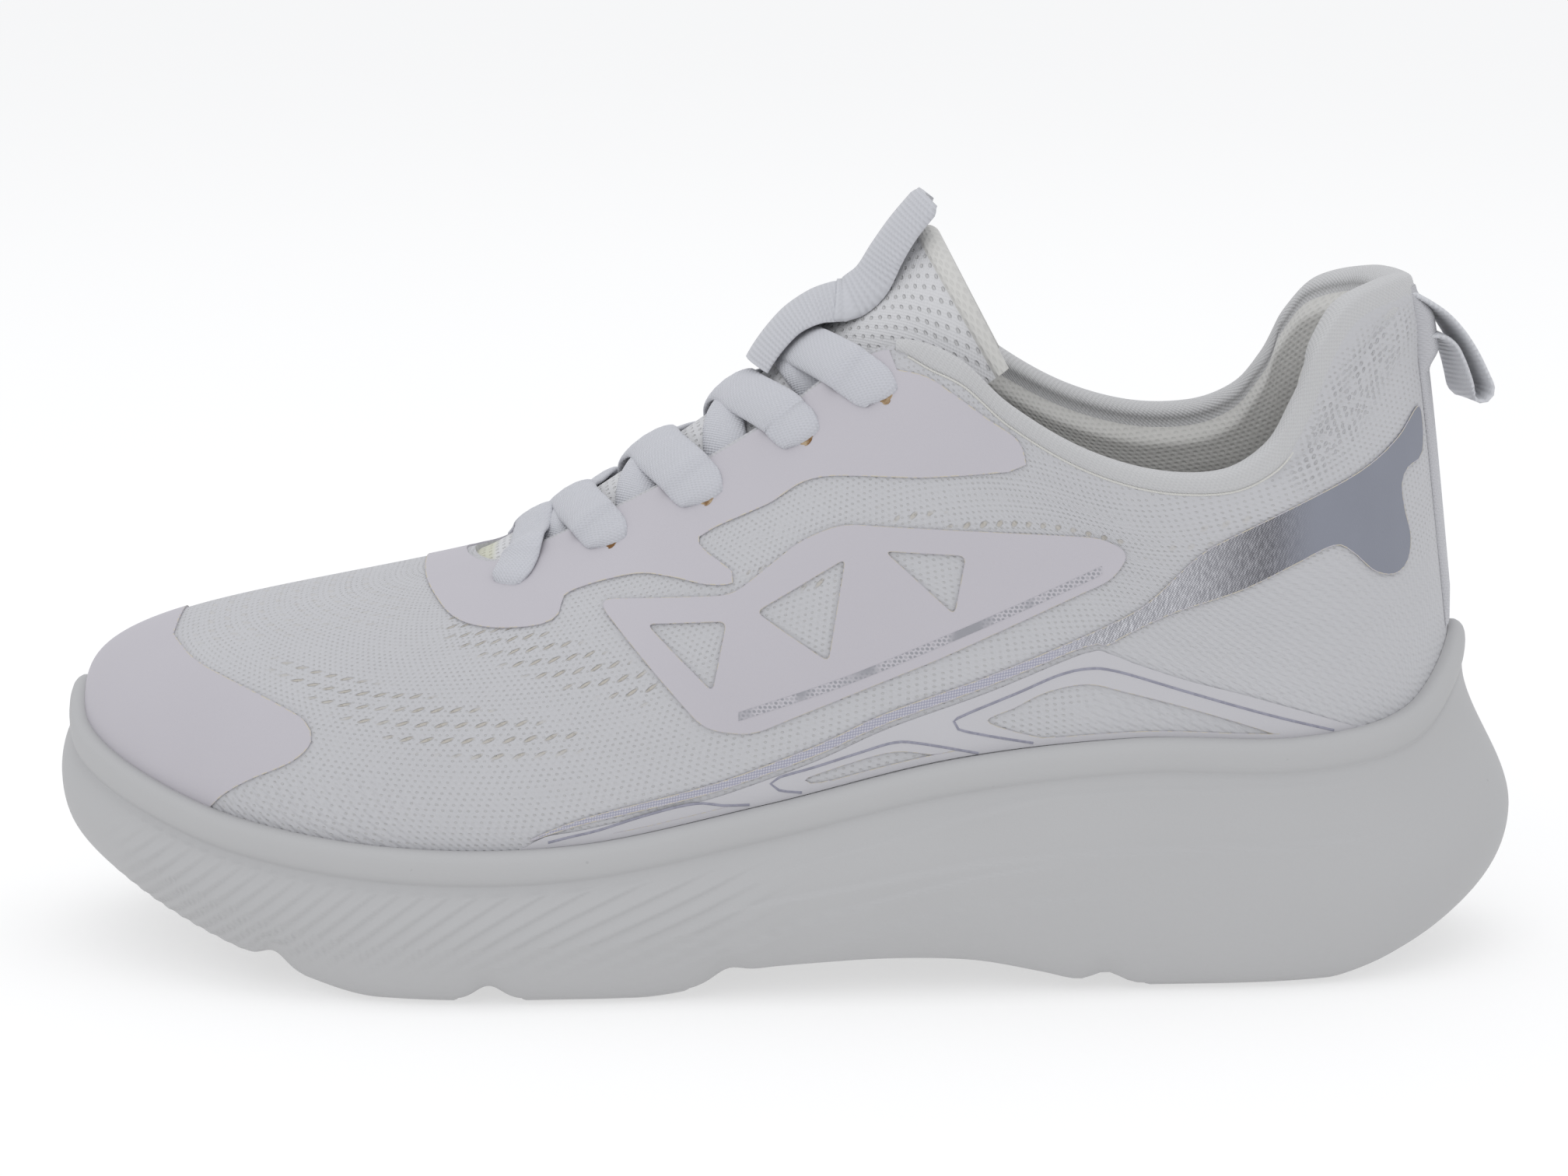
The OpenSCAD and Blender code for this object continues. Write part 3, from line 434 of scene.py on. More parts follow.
class Parts:
    """Collects several closed shells into one mesh."""

    def __init__(self):
        self.verts = []
        self.faces = []
        self.slots = []
        self.uv = []
        self.count = 0

    def add(self, verts, faces, slot, uv):
        self.verts.append(verts)
        self.faces += [[i + self.count for i in f] for f in faces]
        self.slots += [slot] * len(faces)
        self.uv.append(uv)
        self.count += len(verts)

    def ribbon(self, path, widths, heights, sides, crown=0.0, count=16, uv_shift=0.0):
        """Flat band along a path. sides gives the direction of its width at each point."""
        tangent = unit(np.gradient(path, axis=0))
        side = unit(sides - tangent * np.sum(sides * tangent, 1, keepdims=True))
        up = np.cross(side, tangent)
        run = path_length(path)
        drops = np.broadcast_to(crown, (len(path),))
        verts = []
        uv = []
        for i in range(len(path)):
            s = section(widths[i], heights[i], count)
            lift = -drops[i] * (2 * s[:, 0] / max(widths)) ** 2
            verts.append(path[i] + side[i] * s[:, :1] + up[i] * (s[:, 1:] + lift[:, None]))
            uv.append(np.stack([s[:, 0] + uv_shift, np.full(count, run[i])], 1))
        self.add(np.concatenate(verts), tube_faces(len(path), count), 0, np.concatenate(uv))

    def cord(self, path, radius, ups, slot=0, count=6, closed=False, flat=1.0):
        """Thin round or flattened cord along a path."""
        if closed:
            tangent = unit(np.roll(path, -1, 0) - np.roll(path, 1, 0))
        else:
            tangent = unit(np.gradient(path, axis=0))
        side = unit(np.cross(tangent, ups))
        up = np.cross(side, tangent)
        a = np.arange(count) * 2 * math.pi / count
        ring = side[:, None] * np.cos(a)[None, :, None] + up[:, None] * np.sin(a)[None, :, None] * flat
        verts = path[:, None] + ring * radius
        uv = np.stack(np.broadcast_arrays(a[None, :] * radius, path_length(path)[:, None]), -1)
        self.add(verts.reshape(-1, 3), tube_faces(len(path), count, closed), slot, uv.reshape(-1, 2))

    def build(self, name, materials, angle=38):
        return make_mesh(name, np.concatenate(self.verts), self.faces, materials, self.slots,
                         np.concatenate(self.uv), angle=angle)


def place(obj, body, slot_name, *nodes):
    """The piece moves with a body and stands for CAD nodes, which are hidden."""
    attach(obj, body)
    if nodes:
        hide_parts(*nodes)


def place_across(obj, slot_name, body, start, end, *nodes):
    """The piece's transform is baked into its mesh, and the CAD nodes it stands for are hidden."""
    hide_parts(*nodes)
    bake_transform(obj)


# ------------------------------------------------------------------ materials


def srgb(r, g, b):
    """Linear colour of an 8-bit sRGB one."""
    shares = [c / 255 for c in (r, g, b)]
    return tuple(c / 12.92 if c <= 0.04045 else ((c + 0.055) / 1.055) ** 2.4 for c in shares) + (1,)


def scaled(color, factor):
    """A lighter or darker tone of a colour."""
    return tuple(min(1, c * factor) for c in color[:3]) + (1,)


class Shader:
    """A small node tree round one Principled shader. Positions and pitches are in millimetres."""

    def __init__(self, name, roughness=0.8, sheen=0.0, specular=0.35):
        self.material = bpy.data.materials.new(name)
        self.material.use_nodes = True
        self.tree = self.material.node_tree
        self.inputs = self.tree.nodes["Principled BSDF"].inputs
        self.inputs["Roughness"].default_value = roughness
        self.inputs["Specular IOR Level"].default_value = specular
        self.inputs["Sheen Weight"].default_value = sheen
        self.raw = self.node("ShaderNodeTexCoord").outputs["Object"]

    def node(self, kind, **settings):
        node = self.tree.nodes.new(kind)
        for key, value in settings.items():
            setattr(node, key, value)
        return node

    def put(self, socket, value):
        if isinstance(value, bpy.types.NodeSocket):
            self.tree.links.new(value, socket)
        else:
            socket.default_value = value

    def split(self, vector):
        node = self.node("ShaderNodeSeparateXYZ")
        self.put(node.inputs[0], vector)
        return node.outputs

    def math(self, operation, *values, clamp=False):
        node = self.node("ShaderNodeMath", operation=operation, use_clamp=clamp)
        for socket, value in zip(node.inputs, values):
            self.put(socket, value)
        return node.outputs[0]

    def add(self, a, b):
        return self.math("ADD", a, b)

    def sub(self, a, b):
        return self.math("SUBTRACT", a, b)

    def mul(self, a, b):
        return self.math("MULTIPLY", a, b)

    def step(self, x, low, high):
        """Smooth step of a value from 0 at low to 1 at high."""
        node = self.node("ShaderNodeMapRange", interpolation_type="SMOOTHSTEP")
        for key, value in (("Value", x), ("From Min", low), ("From Max", high)):
            self.put(node.inputs[key], value)
        return node.outputs["Result"]

    def mix(self, share, a, b):
        node = self.node("ShaderNodeMix", data_type="RGBA")
        for index, value in ((0, share), (6, a), (7, b)):
            self.put(node.inputs[index], value)
        return node.outputs[2]

    def weave(self):
        """(u, v) along the surface."""
        return self.split(self.node("ShaderNodeUVMap", uv_map="weave").outputs[0])[:2]

    def position(self):
        """(x, y, z) in the object's frame."""
        return [self.mul(out, 1000.0) for out in self.split(self.raw)]

    def attribute(self, name):
        return self.node("ShaderNodeAttribute", attribute_name=name).outputs["Fac"]

    def vector(self, x, y):
        node = self.node("ShaderNodeCombineXYZ")
        self.put(node.inputs[0], x)
        self.put(node.inputs[1], y)
        return node.outputs[0]

    def noise(self, scale, detail=2.0, roughness=0.5, vector=None):
        node = self.node("ShaderNodeTexNoise")
        self.put(node.inputs["Vector"], vector or self.raw)
        for key, value in (("Scale", scale), ("Detail", detail), ("Roughness", roughness)):
            self.put(node.inputs[key], value)
        return node.outputs["Fac"]

    def wave(self, x, pitch):
        """Sine of x that repeats every pitch mm."""
        return self.math("SINE", self.math("MULTIPLY_ADD", x, 2 * math.pi / pitch, 0.0))

    def cell(self, u, v, pitch_u, pitch_v):
        """Coordinates inside a staggered grid of cells, and a random number for each cell."""
        row_share = self.math("DIVIDE", v, pitch_v)
        row = self.math("FLOOR", row_share)
        shift = self.mul(self.math("MODULO", self.math("ABSOLUTE", row), 2.0), 0.5)
        col_share = self.add(self.math("DIVIDE", u, pitch_u), shift)
        col = self.math("FLOOR", col_share)
        cu = self.mul(self.sub(self.sub(col_share, col), 0.5), pitch_u)
        cv = self.mul(self.sub(self.sub(row_share, row), 0.5), pitch_v)
        noise = self.node("ShaderNodeTexWhiteNoise", noise_dimensions="2D")
        self.put(noise.inputs["Vector"], self.vector(col, row))
        return cu, cv, noise.outputs["Value"]

    def spot(self, cu, cv, radius_u, radius_v, soft=0.35, turn=0.0):
        """1 inside an ellipse at the middle of a cell, fading to 0 outside."""
        c, s = math.cos(turn), math.sin(turn)
        a = self.add(self.mul(cu, c / radius_u), self.mul(cv, s / radius_u))
        b = self.add(self.mul(cu, -s / radius_v), self.mul(cv, c / radius_v))
        r = self.math("SQRT", self.add(self.mul(a, a), self.mul(b, b)))
        return self.step(r, 1 + soft, 1 - soft)

    def tint(self, color, amount, scale):
        """A colour with slow uneven tone."""
        return self.mix(self.noise(scale, 3.0), scaled(color, 1 - amount), scaled(color, 1 + amount))

    def finish(self, color, height=None, bump_mm=0.2, roughness=None):
        self.put(self.inputs["Base Color"], color)
        if roughness is not None:
            self.put(self.inputs["Roughness"], roughness)
        if height is not None:
            bump = self.node("ShaderNodeBump")
            self.put(bump.inputs["Height"], height)
            bump.inputs["Distance"].default_value = bump_mm * MM
            self.put(self.inputs["Normal"], bump.outputs[0])
        return self.material


FILM_COLOR = srgb(184, 181, 187)
CUT_COLOR = srgb(194, 187, 172)


def knit_material():
    s = Shader("knit", roughness=0.85, sheen=0.15)
    u, v = s.weave()
    slanted = s.add(u, s.mul(v, 0.55))
    stitch = s.mul(s.wave(slanted, 1.25), s.wave(v, 1.7))
    cu, cv, luck = s.cell(slanted, v, 1.3, 1.05)
    pore = s.mul(s.spot(cu, cv, 0.22, 0.17), s.step(luck, -0.3, 0.5))
    # Rows of short slanted openings
    cu, cv, luck = s.cell(s.add(u, s.mul(v, 0.35)), v, 3.5, 3.3)
    dash_mask = s.mul(s.attribute("dash"), s.step(luck, -0.4, 0.3))
    dash = s.mul(s.spot(cu, cv, 1.1, 0.36, 0.35, 0.5), dash_mask)
    # Open pique on the collar
    cu, cv, luck = s.cell(slanted, v, 1.5, 1.15)
    pique_mask = s.mul(s.attribute("pique"), s.step(luck, 0, 0.5))
    pique = s.mul(s.spot(cu, cv, 0.55, 0.2, 0.4, 0.5), pique_mask)
    # Twill near the toe and diagonal weave on the heel panel
    twill = s.mul(s.wave(s.add(s.mul(u, 0.42), v), 1.35), s.attribute("twill"))
    plain = s.sub(1.0, s.attribute("plain"))
    height = s.add(s.mul(stitch, 0.3), s.mul(twill, 0.3))
    height = s.sub(height, s.mul(pore, s.mul(plain, 0.6)))
    height = s.sub(height, s.add(s.mul(dash, 1.5), s.mul(pique, 1.0)))
    base = s.tint(srgb(187, 187, 190), 0.03, 40)
    color = s.mix(s.mul(pore, s.mul(plain, 0.25)), base, srgb(163, 162, 152))
    color = s.mix(s.mul(dash, 0.5), color, srgb(172, 162, 140))
    color = s.mix(s.mul(pique, 0.35), color, srgb(150, 150, 152))
    return s.finish(color, height, 0.16)


def film_material(name, color):
    s = Shader(name, roughness=0.55, specular=0.4)
    grain = s.noise(2600)
    return s.finish(s.tint(color, 0.025, 50), s.add(s.mul(grain, 0.25), s.noise(90)), 0.12)


def cut_edge_material(name, color, base):
    s = Shader(name, roughness=0.8)
    broken = s.step(s.noise(900), 0.42, 0.58)
    return s.finish(s.mix(broken, base, color), s.noise(2000), 0.05)


def foil_material():
    """Silver foil: lilac hatching at its front, metal in the middle, plain grey at the heel."""
    s = Shader("silver_foil", roughness=0.4, specular=0.5)
    x, _, z = s.position()
    front = s.step(x, 57, 44)
    rear = s.step(x, 84, 95)
    cloth = s.mul(s.wave(s.add(x, s.mul(z, 0.4)), 0.5), s.wave(z, 0.55))
    streaks = s.noise(1.6, 5, 0.7, s.vector(s.mul(x, 1.3), s.mul(z, 0.35)))
    flakes = s.noise(3.0, 3, 0.7, s.vector(s.mul(x, 2.2), s.mul(z, 1.4)))
    glint = s.step(s.add(s.mul(streaks, 0.6), s.add(s.mul(flakes, 0.45), s.mul(cloth, 0.12))), 0.42, 0.72)
    silver = s.mix(glint, srgb(148, 148, 154), srgb(218, 218, 223))
    dark = s.mix(glint, srgb(92, 92, 98), srgb(160, 160, 166))
    silver = s.mix(s.step(x, 68, 88), silver, dark)
    hatch = s.step(s.mul(s.wave(s.add(x, s.mul(z, -0.9)), 0.8), s.wave(s.add(x, z), 1.1)), -0.2, 0.5)
    lilac = s.mix(s.mul(hatch, 0.9), srgb(152, 152, 168), srgb(188, 187, 195))
    grey = s.tint(srgb(129, 132, 143), 0.05, 120)
    color = s.mix(rear, s.mix(front, silver, lilac), grey)
    middle = s.math("SUBTRACT", s.sub(1.0, front), rear, clamp=True)
    s.put(s.inputs["Metallic"], s.mul(middle, 0.35))
    height = s.add(s.mul(s.add(streaks, flakes), middle), s.mul(s.noise(3000), 0.3))
    return s.finish(color, height, 0.14, s.math("MULTIPLY_ADD", rear, 0.2, 0.4))


def halftone_material():
    """Silver print that breaks up into dots."""
    s = Shader("silver_dots", roughness=0.35, specular=0.5)
    x, _, z = s.position()
    cu, cv, luck = s.cell(s.add(x, s.mul(z, 0.3)), z, 0.85, 0.7)
    dot = s.mul(s.spot(cu, cv, 0.3, 0.27, 0.3), s.step(luck, -0.5, 0.5))
    full = s.step(s.noise(1.0, vector=s.vector(s.mul(x, 0.11), s.mul(z, 0.05))), 0.5, 0.62)
    share = s.math("MAXIMUM", dot, full)
    s.put(s.inputs["Metallic"], s.mul(share, 0.4))
    return s.finish(s.mix(share, FILM_COLOR, srgb(150, 150, 156)), s.noise(2500), 0.05)


def foam_material():
    s = Shader("sole_foam", roughness=0.62, specular=0.4)
    specks = s.step(s.noise(420, 1), 0.8, 0.84)
    color = s.mix(s.mul(specks, 0.5), s.tint(srgb(178, 178, 179), 0.02, 30), srgb(150, 150, 150))
    return s.finish(color, s.add(s.mul(s.noise(1900, 3, 0.6), 0.5), s.mul(s.noise(260), 0.5)), 0.06)


def rubber_material():
    s = Shader("outsole_rubber", roughness=0.5, specular=0.45)
    return s.finish(s.tint(srgb(186, 186, 187), 0.03, 40), s.noise(1500, 3), 0.06)


def woven_material(name, color, pitch_u, pitch_v, bump, ribs_mm=None):
    """Woven band: fine weave across, with ribs along its length if ribs_mm is given."""
    s = Shader(name, roughness=0.82, sheen=0.2)
    u, v = s.weave()
    height = s.mul(s.wave(s.add(u, s.mul(v, 0.4)), pitch_u), s.wave(v, pitch_v))
    if ribs_mm:
        height = s.add(s.mul(height, 0.4), s.wave(v, ribs_mm))
    shade = s.step(height, -1.4, 0.2)
    return s.finish(s.mix(shade, scaled(color, 0.92), s.tint(color, 0.03, 60)), height, bump)


def lining_material(name, color, pitch):
    """Air mesh with small pits."""
    s = Shader(name, roughness=0.9, sheen=0.2)
    u, v = s.weave()
    cu, cv, luck = s.cell(u, v, pitch, pitch * 0.62)
    pit = s.mul(s.spot(cu, cv, pitch * 0.26, pitch * 0.2, 0.5), s.step(luck, -0.5, 0.4))
    shaded = s.mix(s.mul(pit, 0.2), s.tint(color, 0.04, 45), scaled(color, 0.7))
    return s.finish(shaded, s.sub(s.mul(s.noise(1500), 0.3), pit), 0.09)


def tongue_mesh_material():
    """Face mesh of the tongue: a regular grid of small round holes, with glue at its front end."""
    s = Shader("tongue_mesh", roughness=0.88, sheen=0.15)
    u, v = s.weave()
    cu, cv, _ = s.cell(u, v, 1.9, 1.45)
    hole = s.spot(cu, cv, 0.31, 0.28, 0.4)
    fine = s.mul(s.wave(u, 0.6), s.wave(v, 0.7))
    color = s.mix(s.mul(hole, 0.3), s.tint(srgb(205, 205, 207), 0.03, 50), srgb(142, 142, 138))
    glue = s.step(s.position()[0], -52, -54)
    color = s.mix(s.mul(glue, 0.45), color, srgb(196, 196, 150))
    return s.finish(color, s.sub(s.mul(fine, 0.12), s.mul(hole, 0.85)), 0.28)


def board_material(name, color, grain):
    s = Shader(name, roughness=0.9)
    return s.finish(s.tint(color, 0.08, 90), s.noise(grain, 4), 0.12)


def burn_material():
    s = Shader("laser_burn", roughness=0.85)
    patches = s.step(s.noise(700, 3), 0.35, 0.65)
    return s.finish(s.mix(patches, srgb(118, 84, 48), srgb(176, 156, 128)), s.noise(1500), 0.05)


def thread_material():
    s = Shader("thread", roughness=0.8, sheen=0.2)
    u, v = s.weave()
    return s.finish(s.tint(srgb(205, 204, 200), 0.05, 200), s.wave(s.add(u, v), 0.5), 0.03)


knit = knit_material()
film_skin = film_material("upper_film", FILM_COLOR)
cage_skin = film_material("cage_film", srgb(187, 186, 190))
cut_edge = cut_edge_material("cut_edge", CUT_COLOR, FILM_COLOR)
grey_line = cut_edge_material("printed_line", srgb(138, 138, 151), srgb(148, 148, 161))
foil = foil_material()
silver_dots = halftone_material()
foam = foam_material()
rubber = rubber_material()
lace_weave = woven_material("lace_weave", srgb(193, 194, 200), 0.75, 0.9, 0.07)
webbing = woven_material("webbing", srgb(192, 193, 198), 0.8, 0.7, 0.06, ribs_mm=0.95)
# The heel loop's weave is a lighter copy of the webbing: painted light that brightens the loop's shaded
# underside.
loop_weave_painted_light = woven_material("loop_weave_painted_light", srgb(205, 206, 210), 0.8, 0.7, 0.08, ribs_mm=0.95)
strip_weave = woven_material("strip_weave", srgb(188, 188, 192), 0.8, 0.7, 0.06)
band_knit = woven_material("band_knit", srgb(192, 192, 193), 0.9, 1.0, 0.07)
lining_mesh = lining_material("lining_mesh", srgb(200, 199, 196), 1.5)
insole_mesh = lining_material("insole_cover", srgb(168, 168, 170), 1.9)
tongue_mesh = tongue_mesh_material()
burn = burn_material()
thread = thread_material()
padding_foam = board_material("padding_foam", srgb(214, 208, 180), 700)


# ------------------------------------------------------------------ sole

# Sculpted steps of the sole's wall, as side-view lines with a height in mm
SCULPT = [
    ([(20, 30.5), (34, 33.8), (46.6, 36.2), (60, 36.8), (80, 36.9), (100, 37.2), (112, 41.5)], 0.55, 2.6),
    ([(-12, 19.5), (4.7, 25.5), (18.6, 29), (32.4, 32.7), (48, 35.6)], 0.55, 3.4),
    ([(-14, 16), (-3, 18.4), (11.7, 20.8), (32.5, 24.3), (53.3, 26), (74, 26.4), (95, 26.6), (112, 28.6)],
     0.6, 4.6),
    ([(-16, 7.5), (-9, 10.4), (8.3, 16.2), (32.5, 22), (53.3, 24.8)], 0.6, 5.0),
    ([(-2, 6.5), (14, 12.4), (34, 17), (60, 18.5)], 0.45, 5.0),
]


def sculpt(x, z):
    """How far the sole's wall stands out at a side-view point."""
    out = np.zeros(np.shape(x))
    for line, amount, fade in SCULPT:
        row = smooth_line(line, 4)
        z_line = np.interp(x, row[:, 0], row[:, 1])
        inside = ramp(line[0][0], line[0][0] + 14, x) * (1 - ramp(line[-1][0] - 12, line[-1][0], x))
        d = z - z_line
        out += amount * inside * ramp(-0.5, 0.5, -d) * np.exp(-np.maximum(-d, 0) / fade)
    # Diagonal ribs of the forefoot, shallower towards the arch
    slope = 0.75 - 0.25 * ramp(-95, -10, x)
    phase = (z - slope * (x + 60)) / 3.1
    saw = np.mod(phase, 1)
    rib = ramp(0, 0.22, saw) * (1 - ramp(0.3, 1, saw))
    top = 25.0 + 5.5 * ramp(-70, -105, x) * 1.2 + 5 * ramp(-25, 8, x)
    zone = ramp(-126, -112, x) * (1 - ramp(-18, 6, x)) * ramp(top, top - 5, z) * ramp(4.5, 10, z)
    # Short slanted ribs under the heel's second line
    fine = np.mod((x - 0.9 * z) / 2.7, 1)
    short = ramp(0, 0.3, fine) * (1 - ramp(0.4, 1, fine))
    band = ramp(44, 52, x) * (1 - ramp(70, 80, x)) * ramp(36.6, 37.4, z) * ramp(40.6, 39.4, z)
    return out + 0.42 * rib * zone + 0.25 * short * band


def dense_places():
    """Places round the sole, closer together where the forefoot is ribbed."""
    k = np.linspace(0, RING, 2001)
    half = half_place(k)
    density = 1 + 1.0 * ramp(6, 12, half) * (1 - ramp(60, 66, half))
    run = np.concatenate([[0], np.cumsum((density[1:] + density[:-1]) / 2)])
    return np.interp(np.arange(SOLE_COLUMNS) / SOLE_COLUMNS, run / run[-1], k)


PLACES = dense_places()
UNDER_EDGE = 1.2
RIM_SKIN = -0.1
# Places of the notches between the outsole pads: x, half width, depth
NOTCHES = [(-90.7, 3.0, 2.2), (-52, 3.2, 2.4), (-10, 3.4, 1.6), (57.5, 3.4, 2.2)]
# Lip of the rim, from the upper out and down: how far out, height above the feather line
LIP = [(0.0, 0.62), (0.5, 0.72), (1.0, 0.75), (1.7, 0.7), (2.4, 0.3), (2.9, -0.3), (3.15, -1.0),
       (3.25, -1.9), (3.22, -2.9), (3.12, -3.8), (2.95, -4.5), (2.72, -5.0), (2.55, -5.25), (2.5, -5.5),
       (2.6, -5.7)]
WALL_START = 2.75


def bottom_z(k, off):
    """Height of the midsole's underside at an offset out from the feather line."""
    x = feather(k)[..., 0] + outward(feather, k)[..., 0] * off
    return ground_z(x) + PAD_T + GAP


def skirt(x):
    """How far the foam's edge comes down over the sides of the outsole pads."""
    return 1.5 - 0.9 * ramp(-14, -2, x) * (1 - ramp(50, 58, x))


def notch(x):
    """How far the underside rises at the ends of the outsole pads."""
    return sum(depth * np.exp(-(((x - middle) / width) ** 2)) for middle, width, depth in NOTCHES)


def wall_ease(t, s):
    return (1 - s) * (1 - (1 - t) ** 2) + s * t * t * (3 - 2 * t)


def sole_rings():
    """Rings of the midsole: inside the cup, then over the rim's lip, down the wall and under."""
    k = PLACES
    f = feather(k)
    o = outward(feather, k)
    full, height, foot, s_shape = walls(k).T
    zf = f[:, 2]
    z_low = bottom_z(k, foot) - skirt(f[:, 0])
    z_full = z_low + height * (zf - RIM_H - z_low)
    z_start = zf - RIM_H - 0.35

    def ring(off, z):
        p = f + o * np.broadcast_to(off, k.shape)[:, None]
        return np.stack([p[:, 0], p[:, 1], z], 1)

    inside = [layer(k, v, RIM_SKIN) for v in np.linspace(-1, -0.02, 8)]
    inside += [ring(off, zf + z) for off, z in LIP]
    wall = [ring(WALL_START + (full - WALL_START) * wall_ease(t, s_shape), z_start - t * (z_start - z_full))
            for t in np.linspace(0.03, 1, 44)]
    for a in np.radians(np.linspace(0, 84, 18)[1:]):
        wall.append(ring(foot + (full - foot) * math.cos(a), z_full - (z_full - z_low) * math.sin(a)))
    under = foot - UNDER_EDGE
    wall.append(ring(under, bottom_z(k, under) - skirt(f[:, 0])))
    return np.array(inside), np.array(wall)


def build_midsole():
    inside, wall = sole_rings()
    bare = ramp(0, 4, np.arange(len(wall)))[:, None]
    wall += outward(feather, PLACES)[None] * (sculpt(wall[..., 0], wall[..., 2]) * bare)[..., None]
    low = ramp(9, 2.4, wall[..., 2] - ground_z(wall[..., 0]))
    wall[..., 2] += notch(wall[..., 0]) * low
    rings = np.concatenate([inside, wall])
    sole = make_mesh("midsole_foam", rings.reshape(-1, 3), ring_faces(*rings.shape[:2]), [foam], angle=50)
    place(sole, "shoe", "foam", "midsole")


def under_edge(k):
    """Edge of the flat underside."""
    off = walls(k)[..., 2] - UNDER_EDGE
    f = feather(k) + outward(feather, k) * off[..., None]
    f[..., 2] = bottom_z(k, off)
    return f


def place_at_x(x):
    """Lateral place at which the underside's edge reaches x."""
    k = np.linspace(0, 100, 2001)
    return float(np.interp(x, under_edge(k)[:, 0], k))


def build_pad(name, k0, k1):
    """Rubber pad with rounded edges and shallow cross grooves on its underside."""
    count = max(24, int((k1 - k0) * 5))
    k = np.linspace(k0, k1, count)
    lateral = under_edge(k)
    medial = under_edge(RING - k)
    # The pad's side rises outside its flat part: share across it, rise
    side = [(-0.012, 1.5), (-0.008, 0.8), (0.0, 0.35), (0.012, 0.1), (0.03, 0)]
    at = [a for a, _ in side]
    across = np.concatenate([at, np.linspace(0.05, 0.95, 46), [0.97, 0.988, 1.0, 1.008, 1.012]])
    rise = np.interp(np.minimum(across, 1 - across), at, [r for _, r in side])
    base = lateral[:, None] * (1 - across)[None, :, None] + medial[:, None] * across[None, :, None]
    ends = np.minimum(np.arange(count), np.arange(count)[::-1])
    end_rise = 2.0 * (1 - ramp(0, 5, ends))
    groove = 0.9 * ramp(0.72, 0.86, np.abs(np.sin(k * math.pi / 1.7)))[:, None]
    groove = groove * (ramp(0.05, 0.1, across) * (1 - ramp(0.9, 0.95, across)))[None]
    low = base.copy()
    low[..., 2] -= GAP + PAD_T - np.minimum(rise[None] + end_rise[:, None] + groove, PAD_T - 0.6)
    top = base.copy()
    top[..., 2] -= GAP
    place(slab(name + "_rubber", low, top, [rubber], angle=40), "shoe", "outsole_rubber", name)


def build_outsole():
    tip = 0.5 * RING / 76
    build_pad("outsole_toe", tip, place_at_x(-93.5))
    build_pad("outsole_forefoot_front", place_at_x(-88), place_at_x(-55.5))
    build_pad("outsole_forefoot_rear", place_at_x(-48.5), place_at_x(-14))
    build_pad("outsole_heel", place_at_x(61.5), 100 - tip)


def build_insole():
    """Dished insole with a knitted cover."""
    n = 240
    k = np.arange(n) * RING / n
    f = feather(k)
    o = outward(feather, k)
    seat = KNIT_T + 0.4
    top = seat + 4
    room = 3.6 * heel_share(k) + 3.4 * ramp(50, 64, half_place(k))
    # Section from the middle of the top out over the edge and in below: inset, height
    steps = [(16, top - 0.1), (12, top), (10, top + 0.25), (8.4, top + 0.55), (7.4, top + 0.8),
             (6.8, top + 0.8), (6.4, top + 0.5), (6.25, top - 0.3), (6.2, seat + 2.4), (6.25, seat + 1.6),
             (6.6, seat + 0.7), (7.6, seat)]
    rings = []
    for inset, rise in steps:
        p = f - o * (inset + room)[:, None]
        rings.append(np.stack([p[:, 0], p[:, 1], cup_floor_z(k) + rise], 1))
    verts = np.concatenate(rings)
    faces = ring_faces(len(steps), n)
    insole = make_mesh("insole_padded", verts, faces, [insole_mesh], uv=verts[:, :2], angle=60)
    place(insole, "insole", "insole", "sockliner")


# ------------------------------------------------------------------ knitted upper

# Bands of dash-shaped openings in the knit: side-view line, half widths along it, strength
DASH_BANDS = [
    ([(-92, 56.5), (-78, 52.6), (-64, 49), (-50, 47), (-37, 46.5)], (1.2, 3.6, 5, 4.4, 2.5), 0.95),
    ([(-58, 64), (-48, 61.8), (-36, 58.6), (-24, 55.3)], (3, 4.2, 4.2, 3), 1.0),
    ([(17, 85.5), (38, 83), (60, 80.3)], (1.2, 2, 1.4), 0.9),
    ([(-6, 75.5), (5, 73.5), (15, 71.2)], (1, 1.8, 1), 0.8),
    ([(-106, 60), (-92, 64.5), (-70, 66)], (3, 5, 3), 0.25),
    ([(64, 77), (80, 83)], (1, 3), 0.3),
]
COLLAR_SEAM = [(86, 90.5), (93, 96), (97.5, 101.5), (101, 109), (105.5, 115.5), (109, 118.5)]
PIQUE_LINE = [(92, 94.5), (97, 99), (102, 107), (108, 116)]
HEEL_PANEL = [(57, 61), (71, 67.5), (90, 75), (101, 77.5), (112, 74)]


def upper_uv(k, v):
    """Millimetre coordinates along the surface: round the ring and up the ribs."""
    p = loft(k, np.clip(v, 0, 1))
    around = np.linalg.norm(np.diff(p, axis=0, append=p[:1]), axis=-1)
    u = np.cumsum(np.mean(around[:, 30:70] if around.shape[1] > 80 else around, axis=1))
    up = np.linalg.norm(np.diff(p, axis=1, prepend=p[:, :1]), axis=-1)
    return np.stack([np.broadcast_to(u[:, None], k.shape), np.cumsum(up, axis=1)], -1)


